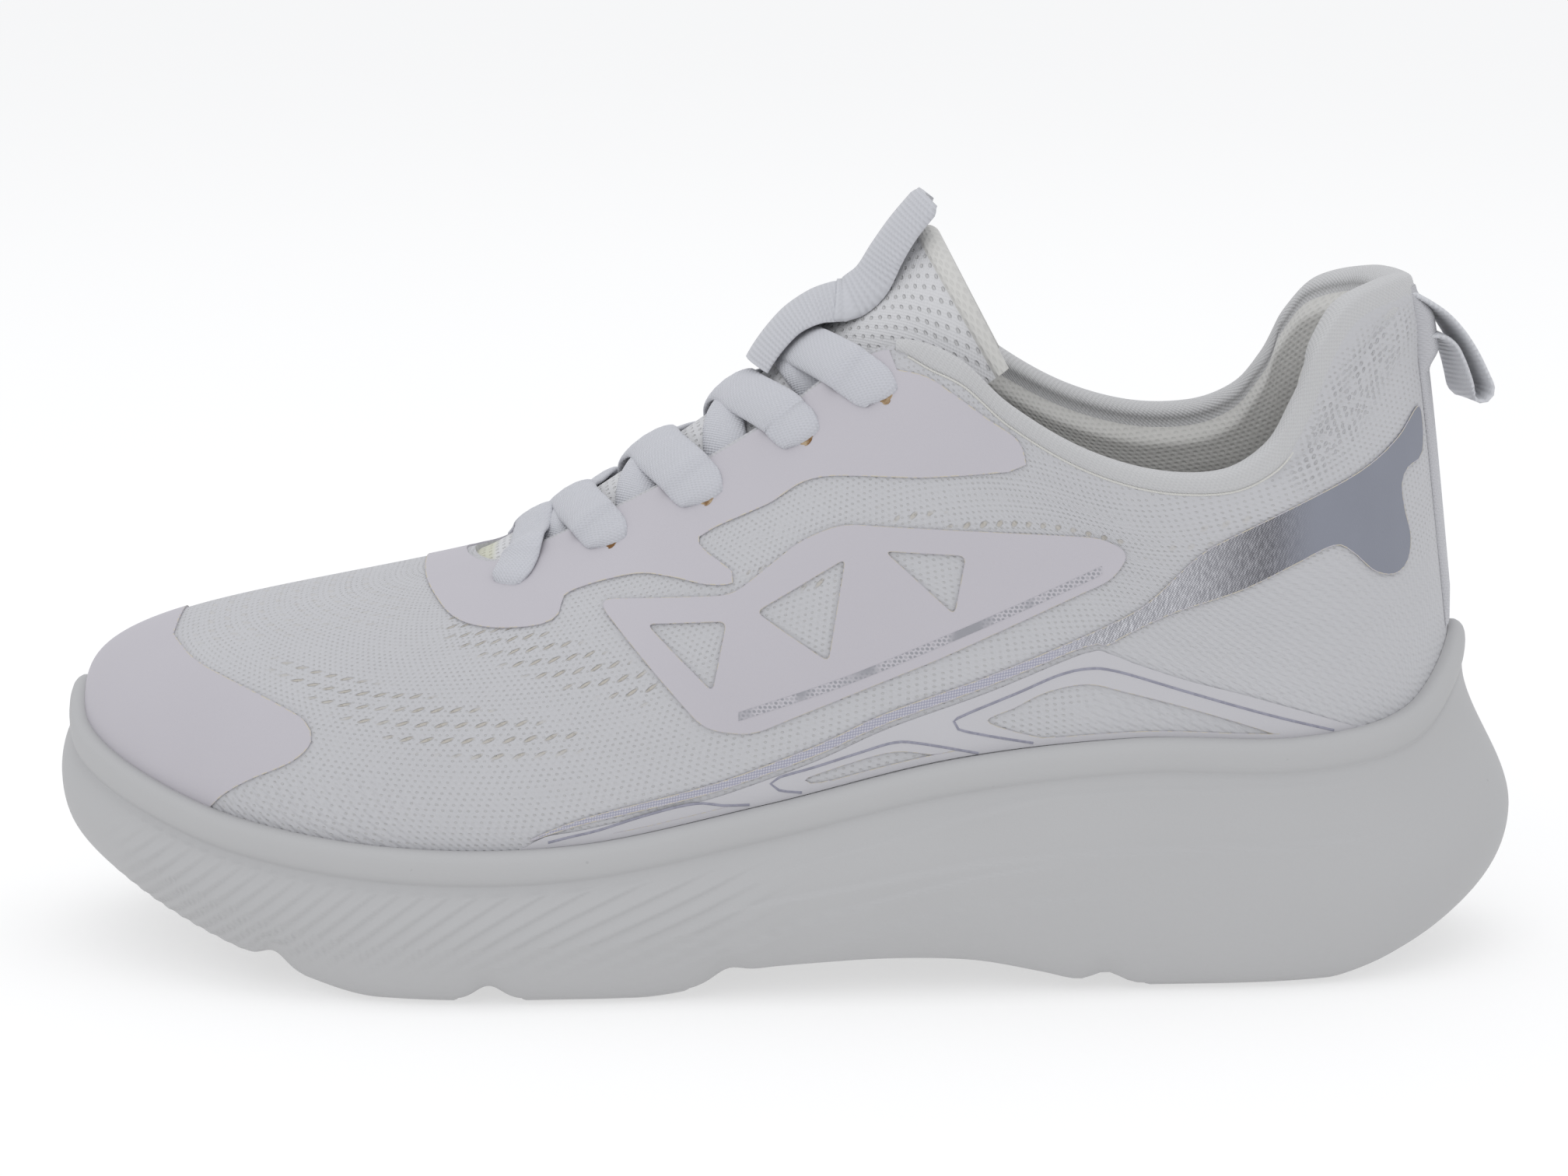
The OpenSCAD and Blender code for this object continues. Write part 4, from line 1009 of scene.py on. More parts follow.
def build_knit():
    n = 440
    around = RING / 2 + np.arange(n) * RING / n
    k, v = grid(around, np.concatenate([np.linspace(-1, 0, 9)[:-1], np.linspace(0, 1, 92)]))
    p = loft(k, v)
    x, z = p[..., 0], p[..., 2]
    dash = np.zeros(k.shape)
    for line, widths, amount in DASH_BANDS:
        d, along = line_distance(x, z, line)
        width = np.interp(along, np.linspace(0, 1, len(widths)), widths)
        dash = np.maximum(dash, amount * ramp(1, 0, d - width + 1))
    seam_d, _ = line_distance(x, z, COLLAR_SEAM)
    pique_d, _ = line_distance(x, z, PIQUE_LINE)
    pique = ramp(7, 3, pique_d) * ramp(0.9, 0.8, v)
    heel_line = np.interp(x, *np.array(HEEL_PANEL).T)
    heel_panel = ramp(50, 56, x) * ramp(heel_line + 1, heel_line - 1, z)
    toe_twill = ramp(-58, -72, x) * ramp(44, 36, z)
    twill = np.maximum(heel_panel * 0.8, toe_twill)
    smooth_pad = ramp(84, 90, half_place(k)) * ramp(0.87, 0.9, v)
    plain = np.maximum(smooth_pad, heel_panel * 0.7)
    # The padding fills the collar out, and a seam draws it in
    swell = 0.7 * ramp(86, 95, half_place(k)) * ramp(0.66, 0.8, v) * (1 - ramp(0.93, 1, v))
    out = swell - 0.5 * ramp(1.5, 0, seam_d) * ramp(84, 88, half_place(k))
    patterns = {"dash": dash, "pique": pique, "twill": twill, "plain": plain}
    upper = slab("knit_upper_fabric", layer(k, v, out), layer(k, v, -KNIT_T), [knit], closed=True,
                 uv=upper_uv(k, v), attributes=patterns)
    place(upper, "shoe", "knit", "knit_upper")


# ------------------------------------------------------------------ films on the upper

# Flat coordinates of the films: mm per place round the shoe and mm per share up a rib
K_MM = 3.3
V_MM = 75.0
# How far out the cut edges of the films lie
EDGE_OUT = GAP + FILM_SKIN * 0.8
# Lower edge of the films, hidden behind the sole's rim
RIM_V = 0.012 * V_MM

TOE_CAP = [(-103.5, 30.8), (-100, 34.5), (-95, 37.7), (-87, 41.5), (-83.6, 45), (-85, 48.2), (-91, 50.7),
           (-99, 53.2), (-107, 55.4), (-112.3, 58)]
EYESTAY = [(-63, 68), (-60, 66), (-56, 64.7), (-50, 64.4), (-43, 65.3), (-39.9, 67.0),
           (-39.0, 69.8), (-34.7, 71.8), (-26, 74), (-20, 73.8), (-13.5, 72.8), (-9, 73.2), (-9.2, 75),
           (-15.0, 79.2), (-13, 81.6), (-3, 86.3), (6.5, 91.3), (25, 91.4), (39.5, 92.2)]
EYESTAY_TOP = [(42.6, 93.4), (41.2, 97.4), (35.6, 101.3), (30, 105.3), (25.2, 108.3), (20, 109.4)]
CAGE = [(-46.5, 27.2), (-42, 29.8), (-35, 31), (-17, 35), (-8, 37.5), (6, 42.5), (18, 47.8), (36, 54),
        (53, 60.6), (57.5, 60.4), (61.5, 58.8), (71, 55.6), (82, 52.6), (94, 48.8), (104, 45.2)]
CAGE_WINDOWS = [
    [(48, 45.2), (41, 46.8), (35.8, 49), (40.5, 51.2), (46.5, 54), (53.6, 55.2), (60.7, 53.6), (71.4, 50.7),
     (82, 47.4), (88, 45.2)],
    [(8, 37.4), (3.6, 38.9), (6.8, 40.4), (18, 43.6), (24.5, 43.4), (31, 42)],
    [(-30, 29.0), (-25, 30.6), (-18.5, 32.2), (-14, 32.6), (-10, 32.6)],
]
CAGE_LINES = [
    [(44, 44.9), (36.1, 46.3), (30.7, 47.6), (29.9, 49), (32.5, 50.4), (41.3, 53.9), (48.3, 56.8),
     (53.6, 57.9), (58.9, 57.3), (71.3, 53.5), (84.8, 49.4), (98, 45.6)],
    [(3.1, 36.8), (-0.9, 37.3), (-2.4, 38.5), (-0.9, 39.6), (5.3, 41.3), (13.2, 43.7), (19.3, 45.4),
     (23.7, 45.2), (34.3, 43.2)],
    [(-41.4, 28.8), (-37.8, 29.7), (-32.6, 30.9), (-25.7, 33), (-18.6, 34.8), (-14.3, 35.3),
     (-10.9, 34.8), (-6.1, 34.8)],
]
FOIL = [
    (-44.5, 29.2), (-35, 33.0), (-17, 37.4), (-8, 40.0), (6, 45.2), (18, 50.6), (36, 56.8), (53.6, 63.8),
    (61, 67.2), (65, 69.8), (73, 77.2), (78, 80.2), (90, 85.7), (103, 91.5), (110, 96.2), (114.6, 101),
    (115.4, 92.8), (112.2, 90.6), (110.9, 88), (111.4, 83.7), (112.8, 78.2), (112.2, 74.2),
    (110.4, 72.5), (108.2, 72.3), (105, 73.6), (101, 77.2), (97.4, 78.6), (90, 75.5), (80.7, 71.3),
    (68.7, 67.5), (60.5, 63.8), (57, 62), (53, 61.8), (36, 55.2), (18, 48.9), (6, 43.6), (-8, 38.6),
    (-17, 36.1), (-35, 32.1),
]
FRAME = [(-33, 69.5), (-9, 71), (3, 80.5), (10, 83.4), (56, 80.6), (61, 78), (58, 73.5), (28, 60.4),
         (-6, 47.2), (-14, 48.4)]
FRAME_ZIGZAG = [(-28, 67.4), (-11.5, 51.5), (-8, 68.5), (9, 57), (13, 80.8), (31, 64.5), (34, 79.4)]
FRAME_BAR = 1.6
# Printed stripe along the lower chord
FRAME_STRIPE = [(-8, 50.5), (10, 56.2), (28, 63.2), (44, 69.8), (56, 75)]


def inset_triangle(corners, distance):
    """Triangle with its sides moved in by a distance."""
    p = [np.array(c, float) for c in corners]
    centre = sum(p) / 3
    lines = []
    for a, b in zip(p, p[1:] + p[:1]):
        d = (b - a) / np.linalg.norm(b - a)
        normal = np.array([-d[1], d[0]])
        if np.dot(normal, centre - a) < 0:
            normal = -normal
        lines.append((normal, np.dot(normal, a) + distance))
    return [np.linalg.solve(np.array([n1, n2]), np.array([c1, c2]))
            for (n1, c1), (n2, c2) in zip([lines[-1]] + lines[:-1], lines)]


def inside_polygons(points, polygons):
    """Even-odd test of points against closed outlines."""
    x, y = points[:, 0], points[:, 1]
    inside = np.zeros(len(points), bool)
    for polygon in polygons:
        for (x0, y0), (x1, y1) in zip(polygon, np.roll(polygon, -1, 0)):
            crosses = (y0 > y) != (y1 > y)
            at = x0 + (y - y0) / np.where(y1 == y0, 1e-9, y1 - y0) * (x1 - x0)
            inside ^= crosses & (x < at)
    return inside


def edge_gap(points, polygons):
    """Distance of points from the nearest outline."""
    best = np.full(len(points), 1e9)
    for polygon in polygons:
        for a, b in zip(polygon, np.roll(polygon, -1, 0)):
            d = b - a
            t = np.clip(((points - a) @ d) / max(d @ d, 1e-9), 0, 1)
            best = np.minimum(best, np.linalg.norm(points - a - t[:, None] * d, axis=1))
    return best


def flat_mesh(polygons, spacing):
    """Triangles filling closed outlines (holes by the even-odd rule), in flat coordinates."""
    low = np.min([p.min(0) for p in polygons], 0)
    high = np.max([p.max(0) for p in polygons], 0)
    gx, gy = grid(np.arange(low[0], high[0], spacing), np.arange(low[1], high[1], spacing * 0.87))
    gx = gx + (np.arange(gx.shape[1]) % 2)[None] * spacing / 2
    points = np.stack([gx.ravel(), gy.ravel()], 1)
    points = points[inside_polygons(points, polygons)]
    points = points[edge_gap(points, polygons) > spacing * 0.45]
    coords = np.concatenate(polygons + [points])
    edges = []
    start = 0
    for polygon in polygons:
        n = len(polygon)
        edges += [(start + i, start + (i + 1) % n) for i in range(n)]
        start += n
    out = delaunay_2d_cdt([Vector(c) for c in coords], edges, [], 0, 1e-5)
    verts = np.array([tuple(c) for c in out[0]])
    triangles = np.array([tuple(f) for f in out[2]])
    inside = inside_polygons(verts[triangles].mean(axis=1), polygons)
    faces = [tuple(f) for f in triangles[inside].tolist()]
    counts = {}
    for f in faces:
        for a, b in zip(f, f[1:] + f[:1]):
            counts[(a, b)] = counts.get((a, b), 0) + 1
    border = [e for e in counts if (e[1], e[0]) not in counts]
    return verts, faces, border


def film_piece(parts, polygons, surface, low, high, spacing=2.0, slot=0):
    """Adds a thin plate on the upper. surface maps flat coordinates to place and share."""
    flat, faces, border = flat_mesh(polygons, spacing)
    k, v = surface(flat)
    n = len(flat)
    plates = np.concatenate([layer(k, v, high), layer(k, v, low)])
    all_faces = [list(f) for f in faces] + [[i + n for i in reversed(f)] for f in faces]
    all_faces += [[b, a, a + n, b + n] for a, b in border]
    parts.add(plates, all_faces, slot, np.concatenate([flat, flat]))


def to_surface(flat):
    return flat[:, 0] / K_MM, flat[:, 1] / V_MM


def to_medial(flat):
    return RING - flat[:, 0] / K_MM, flat[:, 1] / V_MM


SIDES = (("lateral", to_surface), ("medial", to_medial))


def flatten(points):
    """Side-view outline to flat coordinates of the upper."""
    points = np.asarray(points, float)
    k, v = place_of(points[:, 0], points[:, 1])
    return np.stack([k * K_MM, v * V_MM], 1)


def edge_cord(parts, flat, surface, out, radius, slot, closed=True):
    """Thin line of cut or printed material along an outline."""
    k, v = surface(flat)
    parts.cord(layer(k, v, out), radius, loft_normal(k, v), slot, 5, closed, 0.6)


def build_toe_cap():
    side = flatten(smooth_line(TOE_CAP, 1.2))
    last_v = side[-1, 1]
    # Over the top of the toe to the mirrored medial edge
    across = np.linspace(side[-1, 0], -side[-1, 0], 24)[1:-1]
    bridge = np.stack([across, last_v + 1.6 * (1 - (across / side[-1, 0]) ** 2)], 1)
    medial = side[::-1] * [-1, 1]
    rim = np.linspace(medial[-1, 0], side[0, 0], 90)[1:-1]
    base = np.stack([rim, np.full(len(rim), RIM_V)], 1)
    side[0, 1] = medial[-1, 1] = RIM_V
    outline = np.concatenate([side, bridge, medial, base])
    parts = Parts()
    film_piece(parts, [outline], to_surface, 0.0, FILM_TOP, 1.8)
    top_line = np.concatenate([side[1:], bridge, medial[:-1]])
    edge_cord(parts, top_line, to_surface, EDGE_OUT, 0.11, 1, closed=False)
    place(parts.build("toe_cap_sheet", [film_skin, cut_edge]), "shoe", "film", "toe_cap_film")


def build_eyestay():
    side = flatten(smooth_line(EYESTAY, 1.2))
    rear = flatten(smooth_line(EYESTAY_TOP, 1.2))
    throat_k = np.linspace(rear[-1, 0] / K_MM, 0, 90)[1:]
    throat = np.stack([throat_k * K_MM, np.full(len(throat_k), 0.985 * V_MM)], 1)
    lateral = np.concatenate([side, rear, throat])
    front = np.linspace(-side[0, 0], side[0, 0], 20)[1:-1]
    bridge = np.stack([front, side[0, 1] + 5.0 * (1 - (front / side[0, 0]) ** 2)], 1)
    medial = lateral[::-1] * [-1, 1]
    outline = np.concatenate([lateral[:-1], medial, bridge])
    a = np.linspace(0, 2 * math.pi, 18, endpoint=False)
    oval = np.stack([1.9 * np.cos(a), 1.25 * np.sin(a)], 1)
    holes = []
    for place_of_hole in LACE_HOLES:
        for sign in (1, -1):
            holes.append(np.array([place_of_hole * K_MM * sign, HOLE_LEVEL * V_MM]) + oval)
    parts = Parts()
    film_piece(parts, [outline] + holes, to_surface, 0.0, FILM_TOP, 1.9)
    lower = np.concatenate([bridge, side, rear])
    edge_cord(parts, lower, to_surface, EDGE_OUT, 0.11, 1, closed=False)
    edge_cord(parts, np.concatenate([side, rear]), to_medial, EDGE_OUT, 0.11, 1, closed=False)
    for hole in holes:
        edge_cord(parts, hole, to_surface, GAP + FILM_SKIN * 0.6, 0.4, 2)
        centre = hole.mean(0)
        mark = centre + [np.sign(centre[0]) * 0.5, -1.35] + (hole - centre) * 0.6
        film_piece(parts, [mark], to_surface, GAP + FILM_SKIN * 0.5, FILM_TOP + 0.06, 0.9, slot=2)
    place(parts.build("eyestay_sheet", [film_skin, cut_edge, burn]), "shoe", "film", "eyestay_film")


def build_side_frames():
    outline = flatten(round_corners(FRAME, 3.0))
    windows = []
    for i in range(0, len(FRAME_ZIGZAG) - 2, 2):
        triangle = inset_triangle(FRAME_ZIGZAG[i:i + 3], FRAME_BAR)
        windows.append(flatten(round_corners(triangle, 1.6)))
    line = smooth_line(FRAME_STRIPE, 1.5)
    stripe = flatten(np.concatenate([line + [0, 0.75], (line - [0, 0.75])[::-1]]))
    for side, surface in SIDES:
        parts = Parts()
        film_piece(parts, [outline] + windows, surface, 0.0, FILM_TOP + 0.1, 2.0)
        for loop in [outline] + windows:
            edge_cord(parts, loop, surface, FILM_TOP, 0.12, 1)
        film_piece(parts, [stripe], surface, FILM_TOP, FILM_TOP + 0.16, 1.6, slot=2)
        obj = parts.build(side + "_frame_sheet", [film_skin, cut_edge, silver_dots])
        place(obj, "shoe", "film", side + "_side_frame")


def build_cages():
    top = flatten(smooth_line(CAGE, 1.5))
    low_k = np.linspace(top[-1, 0], top[0, 0], 110)[1:-1]
    base = np.stack([low_k, np.full(len(low_k), RIM_V)], 1)
    top[0, 1] = top[-1, 1] = RIM_V
    outline = np.concatenate([top, base])
    windows = []
    for window in CAGE_WINDOWS:
        arch = flatten(smooth_line(window, 1.2))
        closing = np.linspace(arch[-1, 0], arch[0, 0], 30)
        floor = np.stack([closing, np.full(30, 0.028 * V_MM)], 1)
        arch[:, 1] = np.maximum(arch[:, 1], 0.03 * V_MM)
        windows.append(np.concatenate([arch, floor]))
    for side, surface in SIDES:
        parts = Parts()
        film_piece(parts, [outline] + windows, surface, 0.0, FILM_TOP, 2.2)
        for line in CAGE_LINES:
            edge_cord(parts, flatten(smooth_line(line, 1.2)), surface, EDGE_OUT, 0.28, 2,
                      closed=False)
        for window in windows:
            edge_cord(parts, window, surface, GAP + FILM_SKIN * 0.7, 0.1, 1)
        obj = parts.build(side + "_cage_sheet", [cage_skin, cut_edge, grey_line])
        place(obj, "shoe", "cage_film", side + "_cage_film")


def build_foils():
    outline = flatten(smooth_line(FOIL, 1.1, closed=True))
    for side, surface in SIDES:
        parts = Parts()
        film_piece(parts, [outline], surface, 0.0, FILM_TOP, 1.8)
        edge_cord(parts, outline, surface, EDGE_OUT, 0.11, 1)
        obj = parts.build(side + "_foil_sheet", [foil, cut_edge])
        place(obj, "shoe", "silver_foil", side + "_heel_foil")


# ------------------------------------------------------------------ collar


def pad_depth(k, v):
    """Thickness of the collar padding."""
    full = ramp(64, 80, half_place(k)) * ramp(0.4, 0.78, v) * (1 - 0.75 * ramp(0.86, 1, v))
    return 0.9 + (COLLAR_PAD_T - 0.9) * full


def lining_depth(k, v):
    return KNIT_T + 2 * GAP + np.maximum(1.2 + GAP, pad_depth(k, v))


CLOTH = {"quality": 4, "mass": 0.1, "tension_stiffness": 12, "compression_stiffness": 12,
         "shear_stiffness": 6, "bending_stiffness": 0.4}
CLOTH_FRAMES = 20


def simulate_padding(obj, pinned, pressure, frames, cap_mm):
    """Blows a sheet up by cloth simulation between its pinned points. Returns the points and their moves."""
    rest = np.zeros(len(obj.data.vertices) * 3)
    obj.data.vertices.foreach_get("co", rest)
    rest = rest.reshape(-1, 3)
    group = obj.vertex_groups.new(name="seam")
    group.add([int(i) for i in np.flatnonzero(pinned)], 1.0, "REPLACE")
    cloth = obj.modifiers.new("padding", "CLOTH")
    for key, value in CLOTH.items():
        setattr(cloth.settings, key, value)
    cloth.settings.vertex_group_mass = "seam"
    cloth.settings.use_pressure = True
    cloth.settings.uniform_pressure_force = pressure
    cloth.settings.effector_weights.gravity = 0
    cloth.point_cache.frame_end = frames
    scene = bpy.context.scene
    for f in range(1, frames + 1):
        scene.frame_set(f)
    held = obj.evaluated_get(bpy.context.evaluated_depsgraph_get())
    result = np.zeros(len(obj.data.vertices) * 3)
    held.data.vertices.foreach_get("co", result)
    obj.modifiers.remove(cloth)
    obj.vertex_groups.remove(group)
    scene.frame_set(1)
    move = result.reshape(-1, 3) - rest
    size = np.linalg.norm(move, axis=1, keepdims=True)
    cap = cap_mm * MM
    return rest, move * (cap * np.tanh(size / cap) / np.maximum(size, 1e-9))


def padded(name, sheet, pinned, pressure, cap_mm):
    """Grid of points after the padding behind it has swollen."""
    mesh = bpy.data.meshes.new(name)
    faces = quads(*sheet.shape[:2])[:, [0, 3, 2, 1]]
    mesh.from_pydata((sheet.reshape(-1, 3) * MM).tolist(), [], faces.tolist())
    obj = link(bpy.data.objects.new(name, mesh))
    rest, move = simulate_padding(obj, pinned.ravel(), pressure, CLOTH_FRAMES, cap_mm)
    bpy.data.objects.remove(obj)
    bpy.data.meshes.remove(mesh)
    return ((rest + move) / MM).reshape(sheet.shape)


def build_collar():
    """Lining and foam of the ankle, from the insole up to the edge band."""
    shares = np.linspace(0, 0.965, 70)
    k, v = grid(np.linspace(66, 134, 190), shares)
    depth = lining_depth(k, v)
    inner = layer(k, v, -depth - LINING_T)
    front = np.minimum(k - 66, 134 - k)
    pinned = (v < 0.42) | (v > 0.95) | (front < 2.5)
    swollen = padded("lining_form", inner, pinned, 1.6, 1.6)
    lift = swollen - inner
    outer = layer(k, v, -depth) + lift
    lining = slab("collar_lining_mesh", outer, swollen, [lining_mesh], uv=upper_uv(k, v), angle=60)
    place(lining, "shoe", "lining", "collar_lining")
    rows = shares >= 0.62
    foam_outer = layer(k, v, -KNIT_T - GAP)[:, rows]
    foam_inner = (layer(k, v, -depth + GAP) + lift)[:, rows]
    padding = slab("collar_foam_pad", foam_outer, foam_inner, [padding_foam], angle=60)
    place(padding, "shoe", "padding", "collar_foam")


def band_width(k):
    """Width of the edge band, as a share of the rib; it widens into the smooth pad at the heel."""
    half = half_place(k)
    return (0.056 + 0.1 * ramp(84, 94, half)) * (0.3 + 0.7 * ramp(66, 70, half))


def build_band():
    """Smooth band folded over the topline."""
    places = np.linspace(66.5, 133.5, 300)
    share = band_width(places)
    outer_v = np.stack([1 - share * (1 - t) for t in np.linspace(0, 1, 12)], 1)
    k = np.broadcast_to(places[:, None], outer_v.shape)
    lift = 0.35 + 0.5 * np.sin(np.linspace(0, 1, 12) * math.pi / 2)
    lift[0] = 0.02
    lift[1] = 0.3
    out_side = layer(k, outer_v, lift)
    top = loft(places, 1.0)
    normal = loft_normal(places, 1.0)
    up = unit(loft(places, 1.0) - loft(places, 0.95))
    depth = lining_depth(places, 1.0) + LINING_T
    start, end = lift[-1], -(depth + 0.75)
    arc = []
    for a in np.linspace(0, math.pi, 16)[1:-1]:
        across = (start + end) / 2 + (start - end) / 2 * math.cos(a)
        arc.append(top + normal * across[:, None] + up * (1.75 * math.sin(a)))
    arc = np.stack(arc, 1)
    in_k, in_v = grid(places, 1 - 0.06 * np.linspace(0, 1, 10))
    in_depth = lining_depth(in_k, in_v) + LINING_T
    in_side = layer(in_k, in_v, -in_depth - 0.75 + 0.95 * np.linspace(0, 1, 10)[None] ** 1.5)
    skin = np.concatenate([out_side, arc, in_side], 1)
    across = np.linspace(-0.25, -2.4, arc.shape[1])[None, :, None]
    core = top[:, None] + normal[:, None] * across + up[:, None] * 0.3
    inward = np.concatenate([layer(k, outer_v, -0.25), core, layer(in_k, in_v, -in_depth + 0.45)], 1)
    run = path_length(skin[:, 6])
    wide = np.cumsum(np.linalg.norm(np.diff(skin, axis=1, prepend=skin[:, :1]), axis=-1), axis=1)
    uv = np.stack([np.broadcast_to(run[:, None], wide.shape), wide], -1)
    band = slab("topline_band_fabric", skin, inward, [band_knit], uv=uv, angle=70)
    place(band, "shoe", "edge_band", "topline_band")


def build_topline_seam():
    """Thread along the lower edge of the band."""
    seam = Parts()
    k = np.linspace(67.5, 132.5, 420)
    v = 1 - band_width(k) - 0.004
    seam.cord(layer(k, v, 0.05), 0.22, loft_normal(k, v), flat=0.7)
    place(seam.build("topline_seam_thread", [thread]), "shoe", "edge_band")


# ------------------------------------------------------------------ tongue


def tongue_dir(s):
    a = tongue_curve(np.clip(s - 0.01, 0, 1))
    b = tongue_curve(np.clip(s + 0.01, 0, 1))
    d = b - a
    return unit(np.stack([d[..., 0], 0 * d[..., 0], d[..., 1]], -1))


def tongue_point(s, q, out):
    """Point of the tongue: s up its length, q across from -1 to 1, out above its face."""
    s, q, out = np.broadcast_arrays(np.asarray(s, float), np.asarray(q, float), np.asarray(out, float))
    t = tongue_curve(s)
    d = tongue_dir(s)
    up = np.stack([-d[..., 2], 0 * s, d[..., 0]], -1)
    limit = np.radians(t[..., 4])
    a = q * limit
    drop = t[..., 3] * (1 - np.cos(a)) / (1 - np.cos(limit))
    slant = -0.36 * drop * ramp(0.5, 1, s)
    across = np.array([0.0, 1.0, 0.0])
    normal = unit(up * np.cos(a)[..., None] + across * (np.sin(a) * 1.1)[..., None])
    centre = np.stack([t[..., 0], t[..., 2] * np.sin(a) / np.sin(limit), t[..., 1]], -1)
    return centre - up * drop[..., None] + d * slant[..., None] + normal * out[..., None]


def crown(s, out=0.0):
    return tongue_point(s, 0.0, out)


def bend_with_tongue(obj, slot_name, *nodes):
    """The piece stands for the tongue's CAD nodes, which are hidden, and its transform is baked."""
    start = crown(TONGUE_HINGE - 0.055)
    end = crown(TONGUE_HINGE + 0.065)
    place_across(obj, slot_name, "tongue_top", start, end, *nodes)


TONGUE_FACE_BACK = -1.0
TONGUE_PAD_BACK = TONGUE_FACE_BACK - GAP - TONGUE_PAD_T
TONGUE_BACK = TONGUE_PAD_BACK - GAP - LINING_T
ROLL_START = 0.953
ROLL_SPAN = 0.055


def build_tongue_face():
    s, q = grid(np.linspace(0, 0.968, 150), np.linspace(-1, 1, 70))
    # The face is quilted softly: fullest between its edges
    soft = ramp(0, 0.25, 1 - np.abs(q)) * ramp(0.968, 0.9, s)
    front = 1.6 * (1 - ramp(0.1, 0.22, s)) * (1 - q * q)
    top = tongue_point(s, q, -0.3 + 0.4 * soft + front)
    low = tongue_point(s, q, TONGUE_FACE_BACK)
    length = path_length(crown(s[:, 0]))
    uv = np.stack([q * 24, np.broadcast_to(length[:, None], q.shape)], -1)
    face = slab("tongue_face_mesh", top, low, [tongue_mesh], uv=uv, angle=60)
    bend_with_tongue(face, "mesh", "tongue_face", "tongue_top_face")


def build_tongue_pad():
    s, q = grid(np.linspace(0, 0.95, 80), np.linspace(-0.96, 0.96, 40))
    top = tongue_point(s, q, TONGUE_FACE_BACK - GAP)
    pad = slab("tongue_foam_pad", top, tongue_point(s, q, TONGUE_PAD_BACK), [padding_foam], angle=60)
    bend_with_tongue(pad, "padding", "tongue_padding", "tongue_top_padding")


def build_tongue_lining():
    """The lining rolls over the padding's top end and out past the face."""
    roll = np.sin(np.linspace(0, 1, 18) * math.pi / 2)
    shares = np.concatenate([np.linspace(0, 0.951, 90), ROLL_START + ROLL_SPAN * roll])
    s, q = grid(shares, np.linspace(-1, 1, 56))
    pinned = (np.abs(q) > 0.95) | (s > 0.94) | (s < 0.05)
    back = padded("tongue_back_form", tongue_point(s, q, TONGUE_BACK), pinned, -1.6, 1.4)
    along = np.clip((s - ROLL_START) / ROLL_SPAN, 0, 1)
    thick = np.sqrt(np.clip(1 - along ** 3, 0, 1))
    middle = (TONGUE_BACK + 0.1) / 2
    half = (0.25 - TONGUE_BACK) / 2
    in_roll = s > ROLL_START - 0.001
    roll_out = middle + half * thick * (0.72 + 0.28 * ramp(0.1, 0.4, along))
    upper = tongue_point(s, q, np.where(in_roll, roll_out, TONGUE_PAD_BACK - GAP))
    back = np.where(in_roll[..., None], tongue_point(s, q, middle - half * thick), back)
    rim = 1 - ramp(0, 0.06, 1 - np.abs(q))
    back = back + (upper - back) * (0.35 * rim)[..., None]
    uv = np.stack([q * 24, s * 105], -1)
    lining = slab("tongue_back_lining", upper, back, [lining_mesh], uv=uv, angle=60)
    bend_with_tongue(lining, "lining", "tongue_lining", "tongue_top_lining")


KEEPER = [(-6.4, 108.6), (-5.4, 110.4), (-3, 113.8), (0.5, 117.6), (5, 120.6), (9, 122), (10, 122.1)]
TAB = [(9.6, 122.3), (10.6, 122.2), (14, 124.4), (17, 129), (20.4, 133.8), (25, 139.2)]


def strap_path(points, step=0.8):
    flat = smooth_line(points, step)
    return np.stack([flat[:, 0], 0 * flat[:, 0], flat[:, 1]], 1)


def build_webbing():
    """Lace keeper and pull tab: webbing bent down over the tongue's sides."""
    for name, points, node, layers in (("tongue_keeper_webbing", KEEPER, "tongue_webbing", 1),
                                       ("tongue_tab_webbing", TAB, "tongue_pull_tab", 2)):
        parts = Parts()
        path = strap_path(points, 0.7)
        n = len(path)
        run = path_length(path)
        to_end = run[-1] - run
        heights = np.full(n, layers * BAND_T)
        widths = np.full(n, WEBBING_W + 0.5)
        if layers == 2:
            heights = heights * (0.6 + 0.4 * ramp(0, 1.6, to_end)) * (0.62 + 0.38 * ramp(0, 3, run))
            widths = widths - 1.6 * (1 - ramp(0, 1.6, to_end))
        sides = np.tile([0.0, -1.0, 0.0], (n, 1))
        middle = np.exp(-(((path[:, 0] - 10) / 7) ** 2))
        parts.ribbon(path, widths, heights, sides, count=36, crown=WEBBING_DROP + 2.0 * middle)
        obj = parts.build(name, [webbing], angle=60)
        if layers == 2:
            place(obj, "pull_tab", "webbing", node)
        else:
            bend_with_tongue(obj, "webbing", node)


# ------------------------------------------------------------------ heel webbing

LOOP = [(113.4, 120.9), (116.6, 119.1), (119.4, 117), (122, 114), (124.4, 110.2), (126.4, 106.2),
        (127.4, 103.8), (127, 102.2), (125.5, 101.7), (124.2, 102.9), (123.4, 105.6), (122.3, 108.8),
        (120.9, 111.6), (118.8, 113.1), (116.2, 113.2)]


